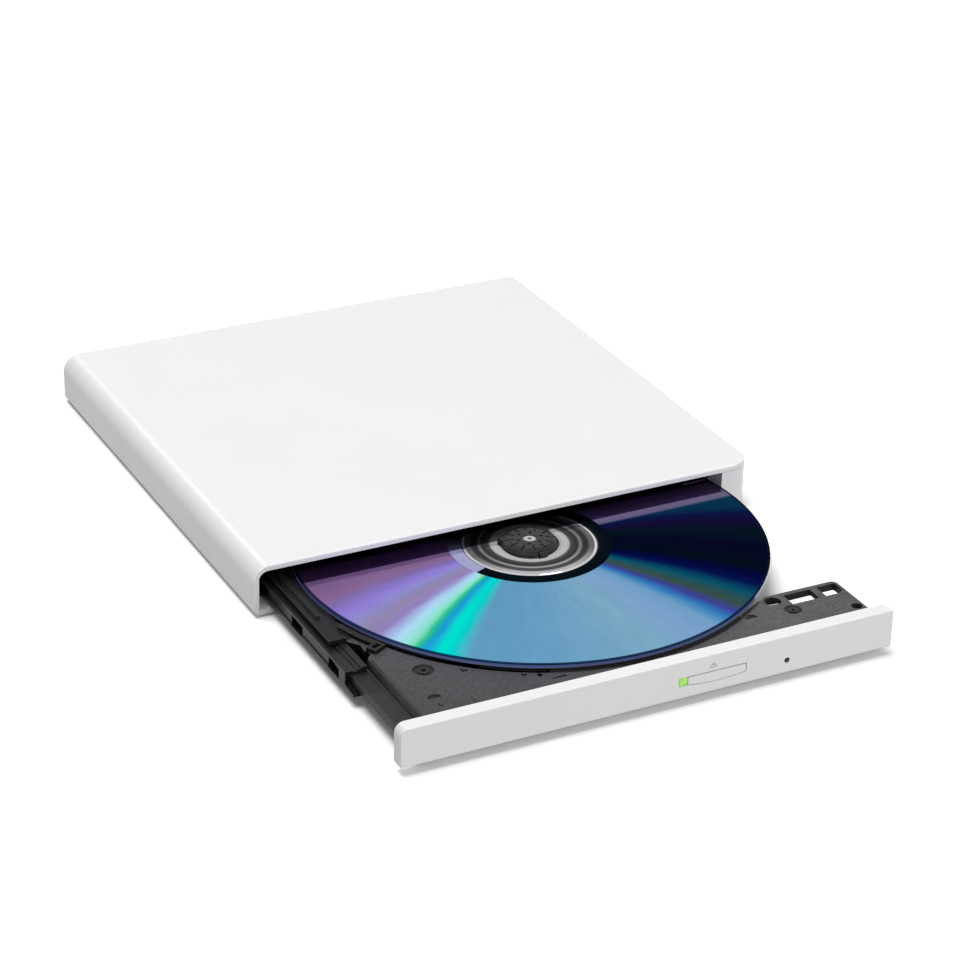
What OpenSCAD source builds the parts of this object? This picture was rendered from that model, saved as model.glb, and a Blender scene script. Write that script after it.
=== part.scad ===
// Slim external disc drive with its tray part way out and a disc on the hub.
// X runs to the right seen from the front, Y to the back, Z up from the table.
// The origin is under the middle of the whole object as it stands, tray out.

/* [Enclosure] */
// Width of the enclosure
body_w = 141; // [139:0.5:150]
// Depth of the enclosure
body_d = 137.5; // [136.5:0.5:150]
// Height of the enclosure without its feet
body_h = 13.3; // [13:0.1:16]
// Thickness of the top plate
cover_t = 1.5; // [1.2:0.1:1.8]
// Radius of the rolled upper left edge
spine_r = 5; // [3.5:0.1:5.5]
// Radius of the lower left edge
spine_base_r = 1.2; // [0.8:0.1:2]
// Width of the light rim round the mouth on the left
spine_rim = 1.2; // [1:0.1:1.6]
// Radius of the mouth's upper left corner
mouth_r = 2.6; // [2:0.1:3.6]
// Thickness of the left wall behind the rim
spine_wall = 3; // [2.4:0.1:3.2]
// Width of the strip of the cover that wraps under the left edge
wrap_w = 6; // [4:0.5:10]
// Small rounding of the cover's other edges
edge_r = 0.5; // [0.3:0.1:0.8]
// Thickness of the floor
floor_t = 1.2; // [1:0.1:1.4]
// Width of the column at the right of the mouth
column_w = 9.3; // [8.5:0.1:11]
// Depth of that column
column_d = 9; // [8:0.5:14]
// Plan radius of the front right corner
column_r = 6; // [3:0.5:7]
// Thickness of the right wall behind the column
side_t = 1.8; // [1.4:0.1:2.4]
// Thickness of the rear wall
rear_t = 1.5; // [1.2:0.1:2]
// Gap of the seam between the two halves of the enclosure
seam = 0.15; // [0.1:0.05:0.3]

/* [Feet and case screws] */
// Height of the rubber feet
foot_h = 0.7; // [0.5:0.1:1.5]
// Diameter of the rubber feet
foot_d = 9; // [6:0.5:12]
// Distance of the feet from the enclosure's sides
foot_inset = 13; // [10:0.5:20]
// Shank diameter of the case screws
case_screw_d = 1.6; // [1.4:0.1:2]
// Head diameter of the case screws
case_head_d = 3.6; // [3:0.1:4]
// Head height of the case screws
case_head_h = 0.6; // [0.4:0.1:0.7]
// Number of bays in the hollow right side, every second one with a screw
side_bays = 5; // [3:2:7]

/* [Tray motion] */
// How far the tray stands out
tray_open = 80; // [60:1:110]
// Distance that a rail moves for each unit of the tray
rail_ratio = 0.68; // [0.66:0.01:0.7]

/* [Bezel] */
// Thickness of the bezel
bezel_t = 3.5; // [3.2:0.1:4]
// Front wall of the bezel
bezel_wall = 1.8; // [1.6:0.1:2]
// Gap from the bezel to the left and right of the mouth
bezel_gap = 0.3; // [0.2:0.05:0.6]
// Gap above the bezel
bezel_gap_top = 0.2; // [0.15:0.05:0.5]
// Gap below the bezel
bezel_gap_base = 0.3; // [0.2:0.05:0.6]
// Width of the bevel round the bezel's front
bezel_bevel = 0.35; // [0.25:0.05:0.6]
// How much shorter the bezel's back is at the right end
bezel_taper = 1.3; // [0.8:0.1:2]
// Position of the emergency eject hole
pin_hole_x = 31.5; // [28:0.5:34]
// Diameter of the emergency eject hole
pin_hole_d = 1.5; // [1:0.1:2]

/* [Eject button and light] */
// Left edge of the light window
light_x = 2.3; // [-5:0.1:4]
// Width of the light window
light_w = 2.1; // [1.5:0.1:3]
// Length of the eject button
button_w = 15.6; // [12:0.1:18]
// Height of the button at its right end
button_end_h = 2.05; // [1.8:0.05:2.3]
// Height of the button at its left end and of the light window
button_h = 1.95; // [1.8:0.05:2.2]
// Depth of the bow in the button's lower edge
button_bow = 0.6; // [0.2:0.05:0.7]
// Top edge of button and light above the bezel's lower edge
button_top = 5.4; // [5.3:0.1:6.2]
// Gap round the button and the light
button_gap = 0.15; // [0.1:0.05:0.25]
// Travel of the eject button
button_travel = 0.5; // [0.3:0.05:0.6]

/* [Disc] */
// Diameter of the disc
disc_d = 120; // [119.6:0.1:120]
// Diameter of the hole in the disc
disc_hole = 15; // [15:0.05:15.1]
// Thickness of the disc
disc_t = 1.2; // [1.1:0.05:1.3]
// Distance from the bezel's front to the middle of the disc
disc_back = 71; // [70.5:0.1:71.5]
// Height of the disc's underside above the tray's deck
disc_lift = 0.4; // [0.3:0.05:0.6]

/* [Tray] */
// Height of the tray from its lower edge to its deck
tray_h = 5; // [4.9:0.05:5.2]
// Thickness of the deck
deck_t = 1.4; // [1.2:0.05:1.45]
// Depth of the round well below the deck
well_depth = 0.9; // [0.7:0.05:0.95]
// Thickness of the well's floor
well_t = 0.8; // [0.6:0.05:0.85]
// Gap from the disc's rim to the wall of the well
well_gap = 1.2; // [0.8:0.1:1.5]
// Thickness of the tray's upright walls
tray_wall = 1.2; // [1:0.1:1.4]
// Length of the tray behind the bezel's front
tray_len = 126; // [122:0.5:127]
// Depth of the right corner plate behind the bezel's front
plate_back = 24.8; // [24.4:0.1:26]
// Length of the slanted edge's step on the corner plate
plate_slant = 4.5; // [3:0.1:5]
// Gap from the tray's left flange to the rail below it
flange_gap = 0.2; // [0.15:0.05:0.4]
// Thickness of the left flange
flange_t = 0.7; // [0.5:0.05:0.8]

/* [Rails] */
// Running gap between sliding pieces
slide_gap = 0.2; // [0.15:0.05:0.25]
// Thickness of a rail's outer wall
rail_wall = 1.2; // [1:0.1:1.3]
// Length of the rails
rail_len = 115; // [105:0.5:116]
// Length of a window in the left rail
rail_window = 6.5; // [4:0.5:9]
// Distance between the windows in the left rail
rail_pitch = 21.7; // [15:0.1:26]
// Thickness of the rail guides' back walls
guide_t = 0.6; // [0.5:0.05:0.7]

/* [Sheet metal and board] */
// Thickness of the chassis and lid sheet
sheet_t = 0.4; // [0.3:0.05:0.45]
// Thickness of the plate under the tray
under_t = 0.3; // [0.25:0.05:0.35]
// Gap between the chassis floor and the plate under the tray
under_gap = 0.5; // [0.45:0.05:0.6]
// Gap between the lid and the top plate
lid_gap = 0.1; // [0.05:0.05:0.2]
// Width of the main board
board_w = 25; // [23:0.5:26]
// Depth of the main board
board_d = 68; // [60:0.5:75]
// Thickness of the boards
board_t = 0.8; // [0.6:0.1:1]
// Width of the socket at the back
socket_w = 7.7; // [7:0.1:8.5]
// Height of the socket at the back
socket_h = 3.9; // [3.5:0.1:4.2]
// Depth of the socket at the back
socket_d = 9; // [8:0.1:10]
// Distance of the socket's middle from the board's right edge
socket_inset = 12.1; // [8:0.1:16]

/* [Optical unit] */
// Direction of the pickup's travel, turned from the right
unit_angle = 225; // [220:1:230]
// Distance of the lens from the disc's middle as drawn
lens_r = 32; // [24:0.5:55]
// Diameter of the guide rods
rod_d = 1.8; // [1.6:0.1:2]
// Diameter of the lead screw
screw_d = 1.8; // [1.6:0.1:2]
// Diameter of the sled motor
motor_d = 3; // [2.6:0.1:3.1]
// Running clearance round rods, shafts and pins
run_gap = 0.05; // [0.03:0.01:0.08]
// Diameter of the spindle motor's rotor
rotor_d = 22; // [20:0.5:23]
// Diameter of the turntable under the disc
table_d = 28; // [26:0.5:29]
// Diameter of the spindle shaft
shaft_d = 2; // [1.6:0.1:2.4]
// Travel of the hub's claws
claw_travel = 0.7; // [0.5:0.05:0.8]
// Number of slits in the hub cap
hub_slits = 12; // [9:3:15]

/* [Latch] */
// Distance of the latch's pivot from the corner plate's right edge
latch_inset = 16.4; // [15:0.1:17]
// Diameter of the latch's pivot pin
latch_pin_d = 1.6; // [1.4:0.1:1.8]
// Diameter of the post that the latch holds
post_d = 2; // [1.8:0.1:2.2]
// Thickness of the latch
latch_t = 1.8; // [1.5:0.1:2]

/* [Hidden] */

$fn = 64;
// Overshoot of a cut past the face that it opens
cut = 0.1;

// Sides of the enclosure and its mouth
left = -body_w / 2;
right = body_w / 2;
base_z = foot_h;
floor_z = base_z + floor_t;
top_z = base_z + body_h;
roof_z = top_z - cover_t;
mouth_left = left + spine_rim;
mouth_right = right - column_w;
front_y = (tray_open - body_d) / 2;
bezel_y = -(tray_open + body_d) / 2;
rail_y = front_y - rail_ratio * tray_open;

// Bezel
bezel_left = mouth_left + bezel_gap;
bezel_right = mouth_right - bezel_gap;
bezel_z = floor_z + bezel_gap_base;
bezel_top = roof_z - bezel_gap_top;
bezel_r = mouth_r - min(bezel_gap, bezel_gap_top);
pin_hole_z = bezel_z + 3.4;
rim_depth = bezel_t + 0.5;
button_x = light_x + light_w + button_gap;
button_z = bezel_z + button_top;

// Heights inside the drive
pan_z = floor_z + sheet_t;
lid_z = roof_z - lid_gap - sheet_t;
under_z = pan_z + under_gap;
tray_z = under_z + under_t;
deck_z = tray_z + tray_h;
deck_base = deck_z - deck_t;
well_z = deck_z - well_depth;
well_base = well_z - well_t;
disc_z = deck_z + disc_lift;
disc_top = disc_z + disc_t;

// Chassis
fit_gap = 0.1;
rear_room = 3;
chassis_left = left + spine_wall + fit_gap;
chassis_right = mouth_right - fit_gap;
chassis_front = bezel_t + 2.5;
chassis_back = body_d - rear_t - rear_room;

// Main board
board_lift = 0.5;
board_screw_d = 1.2;
socket_z = pan_z + board_lift + board_t;
board_right = chassis_right - sheet_t - 0.6;
board_left = board_right - board_w;
board_back = chassis_back - sheet_t - 0.4;
board_z = pan_z + board_lift;
socket_x = board_right - socket_inset;

// Left rail: outer face, lower flange, tongue and upper flange from the chassis floor up
rail_lift = 0.6;
rail_z = pan_z + rail_lift;
left_out = chassis_left + sheet_t + guide_t + slide_gap;
left_low_t = 0.8;
left_tongue_z = rail_z + left_low_t + slide_gap;
left_tongue_t = 2.3;
left_up_z = left_tongue_z + left_tongue_t + slide_gap;
left_up_t = 0.8;
left_ridge = 0.4;
rail_depth = 5.6;
left_wall_x = left_out + rail_depth + slide_gap;
left_front = 6;

// Right rail, lower because the corner plate passes over it
right_wall_x = 26.7;
right_depth = 5.2;
right_out = right_wall_x + slide_gap + right_depth;
right_low_t = 0.8;
right_tongue_z = rail_z + right_low_t + slide_gap;
right_tongue_t = 1.2;
right_up_z = right_tongue_z + right_tongue_t + slide_gap;
right_up_t = 0.8;
right_front = 14;

// Tray
tray_right = right_out - rail_wall - slide_gap;
plate_gap = 0.3;
plate_right = chassis_right - sheet_t - plate_gap;
plate_left = plate_right - 21.9;
latch_x = plate_right - latch_inset;
well_r = disc_d / 2 + well_gap;
flange_z = left_up_z + left_up_t + left_ridge + flange_gap;
flange_start = 48.3;
rib_start = 196;
rib_end = 208;
rib_h = 1.1;

// Optical unit, drawn along its own travel and turned into place
unit_z = tray_z + 0.1;
unit_t = 0.4;
axis_z = unit_z + unit_t + motor_d / 2 + 0.05;
unit_in = -16;
unit_out = 64;
unit_low = -18;
unit_high = 21.5;
unit_corner = 4;
window_in = 13.5;
window_out = 60;
rod_low = -14.5;
rod_high = 13.5;
screw_v = 17.5;
cover_z = well_z - 0.35;
cover_plate_t = 0.3;
lens_in = 24;
pickup_in = -10;
pickup_out = 3.6;
pickup_w = 11;
pickup_nose = 5.5;
bush = 1.7;
pickup_top = well_z - 0.2;
damper_spots = [[-19, 10], [-12, -21.5], [45, -21.5], [44, 25]];

// Spindle
rotor_z = unit_z + unit_t + 0.3;
seat_r = rotor_d / 2 - 1;
table_z = disc_z - 0.25;
table_t = 0.85;
hub_r = disc_hole / 2 - 0.1;
hub_top = disc_top + 1.4;
claw_z = disc_top + 0.05;
claw_t = 0.8;
claw_w = 2;
claw_r = disc_hole / 2 + 0.5;

// Latch
latch_y = 8;
latch_z = deck_base - 0.5 - latch_t;
post_x = latch_x - 2.4;
post_y = latch_y + 6.4;
hook_w = 2;

// A piece that stands still is drawn from the enclosure's front
module at_case() {
    translate([0, front_y, 0]) children();
}

// A piece of the tray is drawn from the bezel's front
module at_tray() {
    translate([0, bezel_y, 0]) children();
}

// A rail is drawn as it lies with the tray shut
module at_rail() {
    translate([0, rail_y, 0]) children();
}

// The optical unit is drawn along the pickup's travel from the disc's middle
module at_unit() {
    at_tray() translate([0, disc_back, 0]) rotate(unit_angle) children();
}

// What turns with the disc is drawn round its axis
module at_disc() {
    at_tray() translate([0, disc_back, 0]) children();
}

// Box between two corners
module box(a, b) {
    translate(a) cube(b - a);
}

// Profile in X and Z, drawn along Y from y0 to y1
module along_y(y0, y1) {
    translate([0, y1, 0]) rotate([90, 0, 0]) linear_extrude(y1 - y0) children();
}

// Profile in Y and Z, drawn along X from x0 to x1
module along_x(x0, x1) {
    translate([x0, 0, 0]) rotate([90, 0, 90]) linear_extrude(x1 - x0) children();
}

// Plan drawn up from z0 to z1
module up(z0, z1) {
    translate([0, 0, z0]) linear_extrude(z1 - z0) children();
}

// Waste outside a rounded corner at p, whose body lies in the direction d
module corner_waste(p, d, r) {
    difference() {
        translate([p.x - (d.x > 0 ? cut : r), p.y - (d.y > 0 ? cut : r)]) square(r + cut);
        translate([p.x + d.x * r, p.y + d.y * r]) circle(r);
    }
}

// Upright tube or pin at a point
module post(p, d, z0, z1) {
    translate([p.x, p.y, z0]) cylinder(d = d, h = z1 - z0);
}

// Pan head screw from below at a point, head under z
module screw_up(p, d, head_d, head_h, z, tip_z) {
    post(p, d, z - cut, tip_z);
    post(p, head_d, z - head_h, z);
}

// Places of the feet
function foot_spots() = [for (x = [left + foot_inset, right - foot_inset])
    for (y = [foot_inset, body_d - foot_inset]) [x, y]];

// Length of one bay in the hollow right side, with its rib
side_pitch = (body_d - column_d - rear_t) / side_bays;
side_rib_t = 1.2;

// Places of the case screws, in every second bay of the right side
function case_screw_spots() = [for (i = [0 : 2 : side_bays - 1])
    [mouth_right + (column_w - side_t) / 2, column_d + (i + 0.5) * side_pitch - side_rib_t / 2]];

// Top plate with the rolled left spine, cut back inside
module cover_profile() {
    difference() {
        translate([left, base_z]) square([body_w, body_h]);
        corner_waste([left, top_z], [1, -1], spine_r);
        corner_waste([left, base_z], [1, 1], spine_base_r);
        corner_waste([right, top_z], [-1, -1], edge_r);
    }
}

// Hollow under the top plate and beside the spine, from a wall thickness and an inner radius on the left
module cover_hollow(wall, r) {
    difference() {
        translate([left + wall, floor_z]) square([body_w, roof_z - floor_z]);
        if (r > 0) corner_waste([left + wall, roof_z], [1, -1], r);
    }
    translate([left + wrap_w, base_z - cut]) square([body_w, floor_t + 2 * cut]);
}

// Plan of the enclosure with its rounded front right corner
module case_plan() {
    difference() {
        translate([left, 0]) square([body_w, body_d]);
        corner_waste([right, 0], [-1, 1], column_r);
        corner_waste([right, body_d], [-1, -1], edge_r);
    }
}

module top_cover() {
    color("white") at_case() {
        difference() {
            intersection() {
                along_y(0, body_d) cover_profile();
                up(base_z, top_z) case_plan();
                along_x(left, right) difference() {
                    translate([0, base_z]) square([body_d, body_h]);
                    corner_waste([0, top_z], [1, -1], edge_r);
                    corner_waste([body_d, top_z], [-1, -1], edge_r);
                }
            }
            along_y(rim_depth, body_d + cut) cover_hollow(spine_wall, 0);
            along_y(-cut, rim_depth + cut) cover_hollow(spine_rim, mouth_r);
        }
        for (p = case_screw_spots()) {
            difference() {
                post(p, case_screw_d + 2.6, floor_z, roof_z + cut);
                post(p, case_screw_d + 2 * run_gap, floor_z - cut, roof_z - 1);
            }
        }
    }
}

// Plan of the hollow inside the right side, with locating ribs left standing
module side_hollow() {
    for (i = [0 : side_bays - 1]) {
        translate([mouth_right - cut, column_d + i * side_pitch])
            square([column_w - side_t + cut, side_pitch - (i < side_bays - 1 ? side_rib_t : 0)]);
    }
}

module bottom_cover() {
    wall_top = roof_z - seam;
    usb = [socket_w + 0.6, socket_h + 0.6];
    color("white") at_case() difference() {
        intersection() {
            up(base_z, wall_top) case_plan();
            union() {
                up(base_z, floor_z) translate([left + wrap_w + seam, 0]) square([body_w, body_d]);
                up(base_z, wall_top) translate([mouth_right, 0]) square([column_w, body_d]);
                up(base_z, wall_top) translate([left + wrap_w + seam, body_d - rear_t])
                    square([body_w, rear_t]);
                up(floor_z + seam, wall_top) translate([left + spine_wall + seam, body_d - rear_t])
                    square([wrap_w, rear_t]);
            }
        }
        up(floor_z, wall_top + cut) side_hollow();
        translate([socket_x - usb.x / 2, body_d - rear_t - cut, socket_z + socket_h / 2 - usb.y / 2])
            cube([usb.x, rear_t + 2 * cut, usb.y]);
        for (p = case_screw_spots()) {
            post(p, case_screw_d + 0.4, base_z - cut, floor_z + cut);
            post(p, case_head_d + 0.4, base_z - cut, base_z + case_head_h);
        }
    }
}

module rubber_feet() {
    color("dimgray") at_case() for (p = foot_spots()) {
        translate([p.x, p.y, 0]) rotate_extrude() difference() {
            square([foot_d / 2, foot_h]);
            corner_waste([foot_d / 2, 0], [-1, 1], min(0.4, foot_h / 2));
        }
    }
}

module case_screws() {
    color("gray") at_case() for (p = case_screw_spots()) {
        screw_up(p, case_screw_d, case_head_d, case_head_h, base_z + case_head_h, roof_z - 2);
    }
}

// Places of the lid's screws on the chassis ears
function lid_spots() = [for (x = [chassis_left + 4, chassis_right - 4])
    for (y = [chassis_front + 4, chassis_back - 4]) [x, y]];

// Places of the main board's screws
function board_spots() = [for (x = [board_left + 3, board_right - 3])
    for (y = [board_back - board_d + 3, board_back - 22]) [x, y]];

// Middle of the eject spring and the bracket behind it
spring_x = plate_left - 1.5;
spring_z = disc_z - 1.7;
spring_back = 40;
spring_len = 20;
spring_d = 2.4;
spring_wire = 0.36;
spring_turns = 10;

module chassis() {
    ear_z = lid_z - 2 * sheet_t;
    slot = [12, 3];
    color("silver") at_case() difference() {
        union() {
            box([chassis_left, chassis_front, floor_z], [chassis_right, chassis_back, pan_z]);
            box([chassis_left, chassis_front, floor_z], [chassis_left + sheet_t, chassis_back, lid_z]);
            box([chassis_right - sheet_t, chassis_front, floor_z], [chassis_right, chassis_back, lid_z]);
            box([chassis_left, chassis_back - sheet_t, floor_z], [chassis_right, chassis_back, lid_z]);
            for (p = lid_spots()) {
                box([p.x - 4, p.y - 4, ear_z], [p.x + 4, p.y + 4, ear_z + sheet_t]);
            }
            for (p = board_spots()) post(p, 4, pan_z - cut, board_z);
            box([spring_x - 1.6, spring_back, pan_z - cut],
                [spring_x + 1.6, spring_back + sheet_t, spring_z + spring_d / 2]);
            translate([spring_x, spring_back + cut, spring_z]) rotate([90, 0, 0])
                cylinder(d = spring_d - 2 * spring_wire - 0.5, h = spring_len * 0.6);
        }
        translate([socket_x - socket_w / 2 - 0.4, chassis_back - sheet_t - cut, board_z - 0.2])
            cube([socket_w + 0.8, sheet_t + 2 * cut, socket_h + board_t + 0.6]);
        for (p = lid_spots()) post(p, 1.6, ear_z - cut, ear_z + sheet_t + cut);
        for (p = board_spots()) post(p, board_screw_d + 2 * run_gap, pan_z, board_z + cut);
        for (x = [-45 : 22 : 0]) {
            for (y = [30 : 30 : 90]) {
                translate([x, y, floor_z - cut]) cube([slot.x, slot.y, sheet_t + 2 * cut]);
            }
        }
    }
}

module drive_lid() {
    pad_z = lid_z - sheet_t;
    color("dimgray") at_case() difference() {
        union() {
            difference() {
                box([chassis_left, chassis_front, lid_z], [chassis_right, chassis_back, lid_z + sheet_t]);
                for (p = lid_spots()) post(p, 5, lid_z - cut, lid_z + sheet_t + cut);
            }
            for (p = lid_spots()) post(p, 6, pad_z, lid_z);
            translate([0, disc_back, pad_z]) difference() {
                cylinder(r = disc_d / 2 - 8, h = sheet_t);
                translate([0, 0, -cut]) cylinder(r = disc_d / 2 - 10, h = sheet_t + 2 * cut);
            }
        }
        for (p = lid_spots()) post(p, 1.6, pad_z - cut, lid_z + cut);
    }
}

module lid_screws() {
    color("gray") at_case() for (p = lid_spots()) {
        post(p, 1.4, lid_z - 4 * sheet_t, lid_z + cut);
        post(p, 3.2, lid_z, lid_z + sheet_t - 0.05);
    }
}

// Channel that holds a rail: back wall at x, lips reaching in the direction d
module guide(x, d, lip_low, lip_top, top_z, y0, y1) {
    lip_t = 0.6;
    along_y(y0, y1) {
        translate([min(x, x + d * guide_t), pan_z]) square([guide_t, top_z + lip_t - pan_z]);
        translate([min(x, x + d * lip_low), pan_z]) square([lip_low, rail_lift - slide_gap]);
        translate([min(x, x + d * lip_top), top_z]) square([lip_top, lip_t]);
    }
}

module left_guide() {
    color("black") at_case() guide(chassis_left + sheet_t, 1, 4, guide_t + slide_gap + 0.9,
        left_up_z + left_up_t + slide_gap, left_front + 8, tray_len);
}

module right_guide() {
    color("black") at_case() guide(right_out + slide_gap + guide_t, -1, 3.4, guide_t + slide_gap + 0.9,
        right_up_z + right_up_t + slide_gap, plate_back + 5, tray_len);
}

module latch_post() {
    color("silver") at_case() {
        post([post_x, post_y], post_d, pan_z, latch_z + latch_t - 0.3);
        post([post_x, post_y], post_d + 2, pan_z, pan_z + 0.3);
    }
}

// Tube of radius r swept round points along the Y axis, with flat ends
module coil(r, wire_r, len, turns, steps, sides) {
    count = turns * steps;
    rings = [for (i = [0 : count]) let (a = 360 * i / steps)
        for (j = [0 : sides - 1]) let (b = 360 * j / sides, q = r + wire_r * cos(b))
            [q * cos(a), len * i / count + wire_r * sin(b), q * sin(a)]];
    walls = [for (i = [0 : count - 1]) for (j = [0 : sides - 1])
        let (a = i * sides + j, b = i * sides + (j + 1) % sides)
            each [[a, b, a + sides], [b, b + sides, a + sides]]];
    ends = [for (j = [1 : sides - 2])
        each [[0, j + 1, j], [count * sides, count * sides + j, count * sides + j + 1]]];
    polyhedron(rings, concat(walls, ends), convexity = 10);
}

module eject_spring() {
    color("silver") at_case() translate([spring_x, spring_back - spring_wire / 2, spring_z])
        mirror([0, 1, 0])
            coil((spring_d - spring_wire) / 2, spring_wire / 2, spring_len, spring_turns, 10, 6);
}

module main_board() {
    color("darkgreen") at_case() difference() {
        box([board_left, board_back - board_d, board_z], [board_right, board_back, board_z + board_t]);
        for (p = board_spots()) post(p, 1.6, board_z - cut, board_z + board_t + cut);
    }
}

module board_chips() {
    chip_z = board_z + board_t;
    big = 12;
    color("black") at_case() {
        translate([board_right - 5 - big, board_back - board_d + 16, chip_z]) cube([big, big, 1.2]);
        translate([board_left + 8, board_back - board_d + 34, chip_z]) cube([8, 6, 1]);
        translate([board_right - 8, board_back - board_d + 33, chip_z]) cube([5, 4, 1.4]);
        for (i = [0 : 3]) {
            translate([board_left + 7 + 3 * i, board_back - board_d + 10, chip_z]) cube([1.6, 0.9, 0.8]);
        }
    }
}

module board_screws() {
    color("silver") at_case() for (p = board_spots()) {
        post(p, board_screw_d, pan_z + 0.05, board_z + board_t + cut);
        post(p, 3, board_z + board_t, board_z + board_t + 0.5);
    }
}

// Ribbon cable: its socket on the board and the fold that follows the tray
ribbon_x = 2;
ribbon_w = 12;
ribbon_t = 0.12;
ribbon_len = 110;
ribbon_fixed = 125;
ribbon_tray = tray_len - 6;
ribbon_fold = (ribbon_tray + ribbon_fixed - tray_open - ribbon_len) / 2;
ribbon_cross = 4.5;

module ribbon_connector() {
    color("ivory") at_case() translate([board_left + 1, board_back - ribbon_cross - 1.2, board_z + board_t])
        difference() {
            cube([3, ribbon_cross + 0.8, 1.2]);
            translate([-cut, 0.3, 0.5]) cube([2, ribbon_cross + 0.2, ribbon_t + 0.1]);
        }
}

module flex_ribbon() {
    loop_r = under_gap / 2;
    cross_y = board_back - ribbon_cross - 0.8;
    plug_z = board_z + board_t + 0.55;
    color("peru") at_case() {
        box([ribbon_x, ribbon_fold, pan_z],
            [ribbon_x + ribbon_w, cross_y + ribbon_cross, pan_z + ribbon_t]);
        box([ribbon_x, ribbon_fold, under_z - ribbon_t],
            [ribbon_x + ribbon_w, ribbon_tray - tray_open, under_z]);
        along_x(ribbon_x, ribbon_x + ribbon_w) translate([ribbon_fold, pan_z + loop_r]) difference() {
            circle(loop_r);
            circle(loop_r - ribbon_t);
            translate([0, -loop_r - cut]) square(2 * loop_r + 2 * cut);
        }
        box([ribbon_x, cross_y, pan_z], [board_left - 0.2, cross_y + ribbon_cross, pan_z + ribbon_t]);
        box([board_left - 0.2 - ribbon_t, cross_y, pan_z],
            [board_left - 0.2, cross_y + ribbon_cross, plug_z + ribbon_t]);
        box([board_left - 0.2 - ribbon_t, cross_y, plug_z],
            [board_left + 2.5, cross_y + ribbon_cross, plug_z + ribbon_t]);
    }
}

module usb_socket() {
    shell = 0.35;
    back = body_d - 0.3;
    color("silver") at_case() translate([socket_x, back, socket_z]) {
        difference() {
            translate([-socket_w / 2, -socket_d, 0]) cube([socket_w, socket_d, socket_h]);
            translate([-socket_w / 2 + shell, -socket_d + 1.5, shell])
                cube([socket_w - 2 * shell, socket_d, socket_h - 2 * shell]);
        }
        translate([-socket_w / 4, -socket_d + 1, socket_h / 2 - 0.4])
            cube([socket_w / 2, socket_d - 2.2, 0.8]);
    }
}

module left_rail() {
    w = rail_depth;
    slab_z = left_up_z + left_up_t;
    toe = 4.6;
    windows = floor((rail_len - 8 - rail_window) / rail_pitch);
    groove = 0.3;
    color("black") at_rail() difference() {
        along_y(left_front, left_front + rail_len) {
            translate([left_out, rail_z]) square([rail_wall, slab_z - rail_z]);
            translate([left_out, rail_z]) square([rail_wall + 2.2, left_low_t]);
            translate([left_out, left_up_z]) square([w, left_up_t]);
            translate([left_out + w - 1.4, left_up_z]) square([1.4, left_up_t + left_ridge]);
        }
        for (i = [0 : windows]) {
            translate([left_out - cut, left_front + 8 + i * rail_pitch, rail_z + 0.7])
                cube([rail_wall + 1.2, rail_window, left_up_z - rail_z - 0.8]);
        }
        box([left_out - cut, left_front + 10, rail_z + 1],
            [left_out + groove, left_front + rail_len - 4, slab_z - 0.5]);
        box([left_out + 2.1, left_front - cut, slab_z - groove],
            [left_out + 3.2, left_front + rail_len + cut, slab_z + cut]);
        along_x(left_out - cut, left_out + w + cut) polygon([[left_front - cut, rail_z + 0.6],
            [left_front + toe, left_tongue_z], [left_front + toe, slab_z + 1],
            [left_front - cut, slab_z + 1]]);
    }
}

module right_rail() {
    color("black") at_rail() along_y(right_front, right_front + rail_len) {
        translate([right_out - rail_wall, rail_z]) square([rail_wall, right_up_z + right_up_t - rail_z]);
        translate([right_out - right_depth + 1, rail_z]) square([right_depth - 1, right_low_t]);
        translate([right_out - right_depth, right_up_z]) square([right_depth, right_up_t]);
    }
}

// Middle of the button's stem and of the switch behind it
switch_x = button_x + button_w / 2;
stem_z = deck_base - 1;
stem = [2.4, 1];
switch_y = 7.2;
switch_h = 1.6;
front_post = 10;
front_post_y = bezel_t + 9;
front_board_z = stem_z - switch_h / 2 - board_t;
plunger_y = switch_y - 1.1;

// Clips that hold the bezel to the tray's front wall
clip_spots = [bezel_left + 22, bezel_left + 55, bezel_right - 4.9];
clip = [5, 0.9];
clip_z = deck_base - 1.2;

// Small screws of the tray, and the places of those that hold the plate under it
small_screw_d = 1;
small_head_d = 3;
function under_spots() = [[left_wall_x + 5, bezel_t + 6.5], [18, 22], [left_wall_x + 5, tray_len - 11],
    [right_wall_x - 6, tray_len - 11]];

// Plan of the deck: main field, front strip and right corner plate
module tray_plan() {
    difference() {
        polygon([[left_wall_x, bezel_t], [plate_right, bezel_t], [plate_right, plate_back],
            [plate_left, plate_back], [tray_right, plate_back - plate_slant],
            [tray_right, tray_len], [left_wall_x, tray_len]]);
        corner_waste([plate_right, plate_back], [-1, -1], 1.5);
        corner_waste([left_wall_x, tray_len], [1, -1], 2);
        corner_waste([tray_right, tray_len], [-1, -1], 2);
    }
}

// Plan of the optical unit along its travel, grown by a gap
module unit_plan(gap) {
    a = unit_in - gap;
    b = unit_out + gap;
    c = unit_low - gap;
    d = unit_high + gap;
    k = unit_corner;
    polygon([[a, c], [b - k, c], [b, c + k], [b, d - k], [b - k, d], [a + k, d], [a, d - k]]);
}

// Shallow half-moon left by a slanted dimple in the deck
module dimple(p) {
    translate([p.x, p.y, deck_z]) rotate([-24, 0, 0]) cylinder(r = 1.7, h = 2);
}

// Waste over the rounded shoulder between the left tongue and the deck
module shoulder_waste() {
    low = left_tongue_z + left_tongue_t + 0.15;
    rise = deck_z + cut - low;
    polygon(concat([[-cut, deck_z + cut], [-cut, low]],
        [for (i = [0 : 4]) let (s = i / 4) [0.2 + 0.9 * pow(s, 1.6), low + s * rise]]));
}

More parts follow.
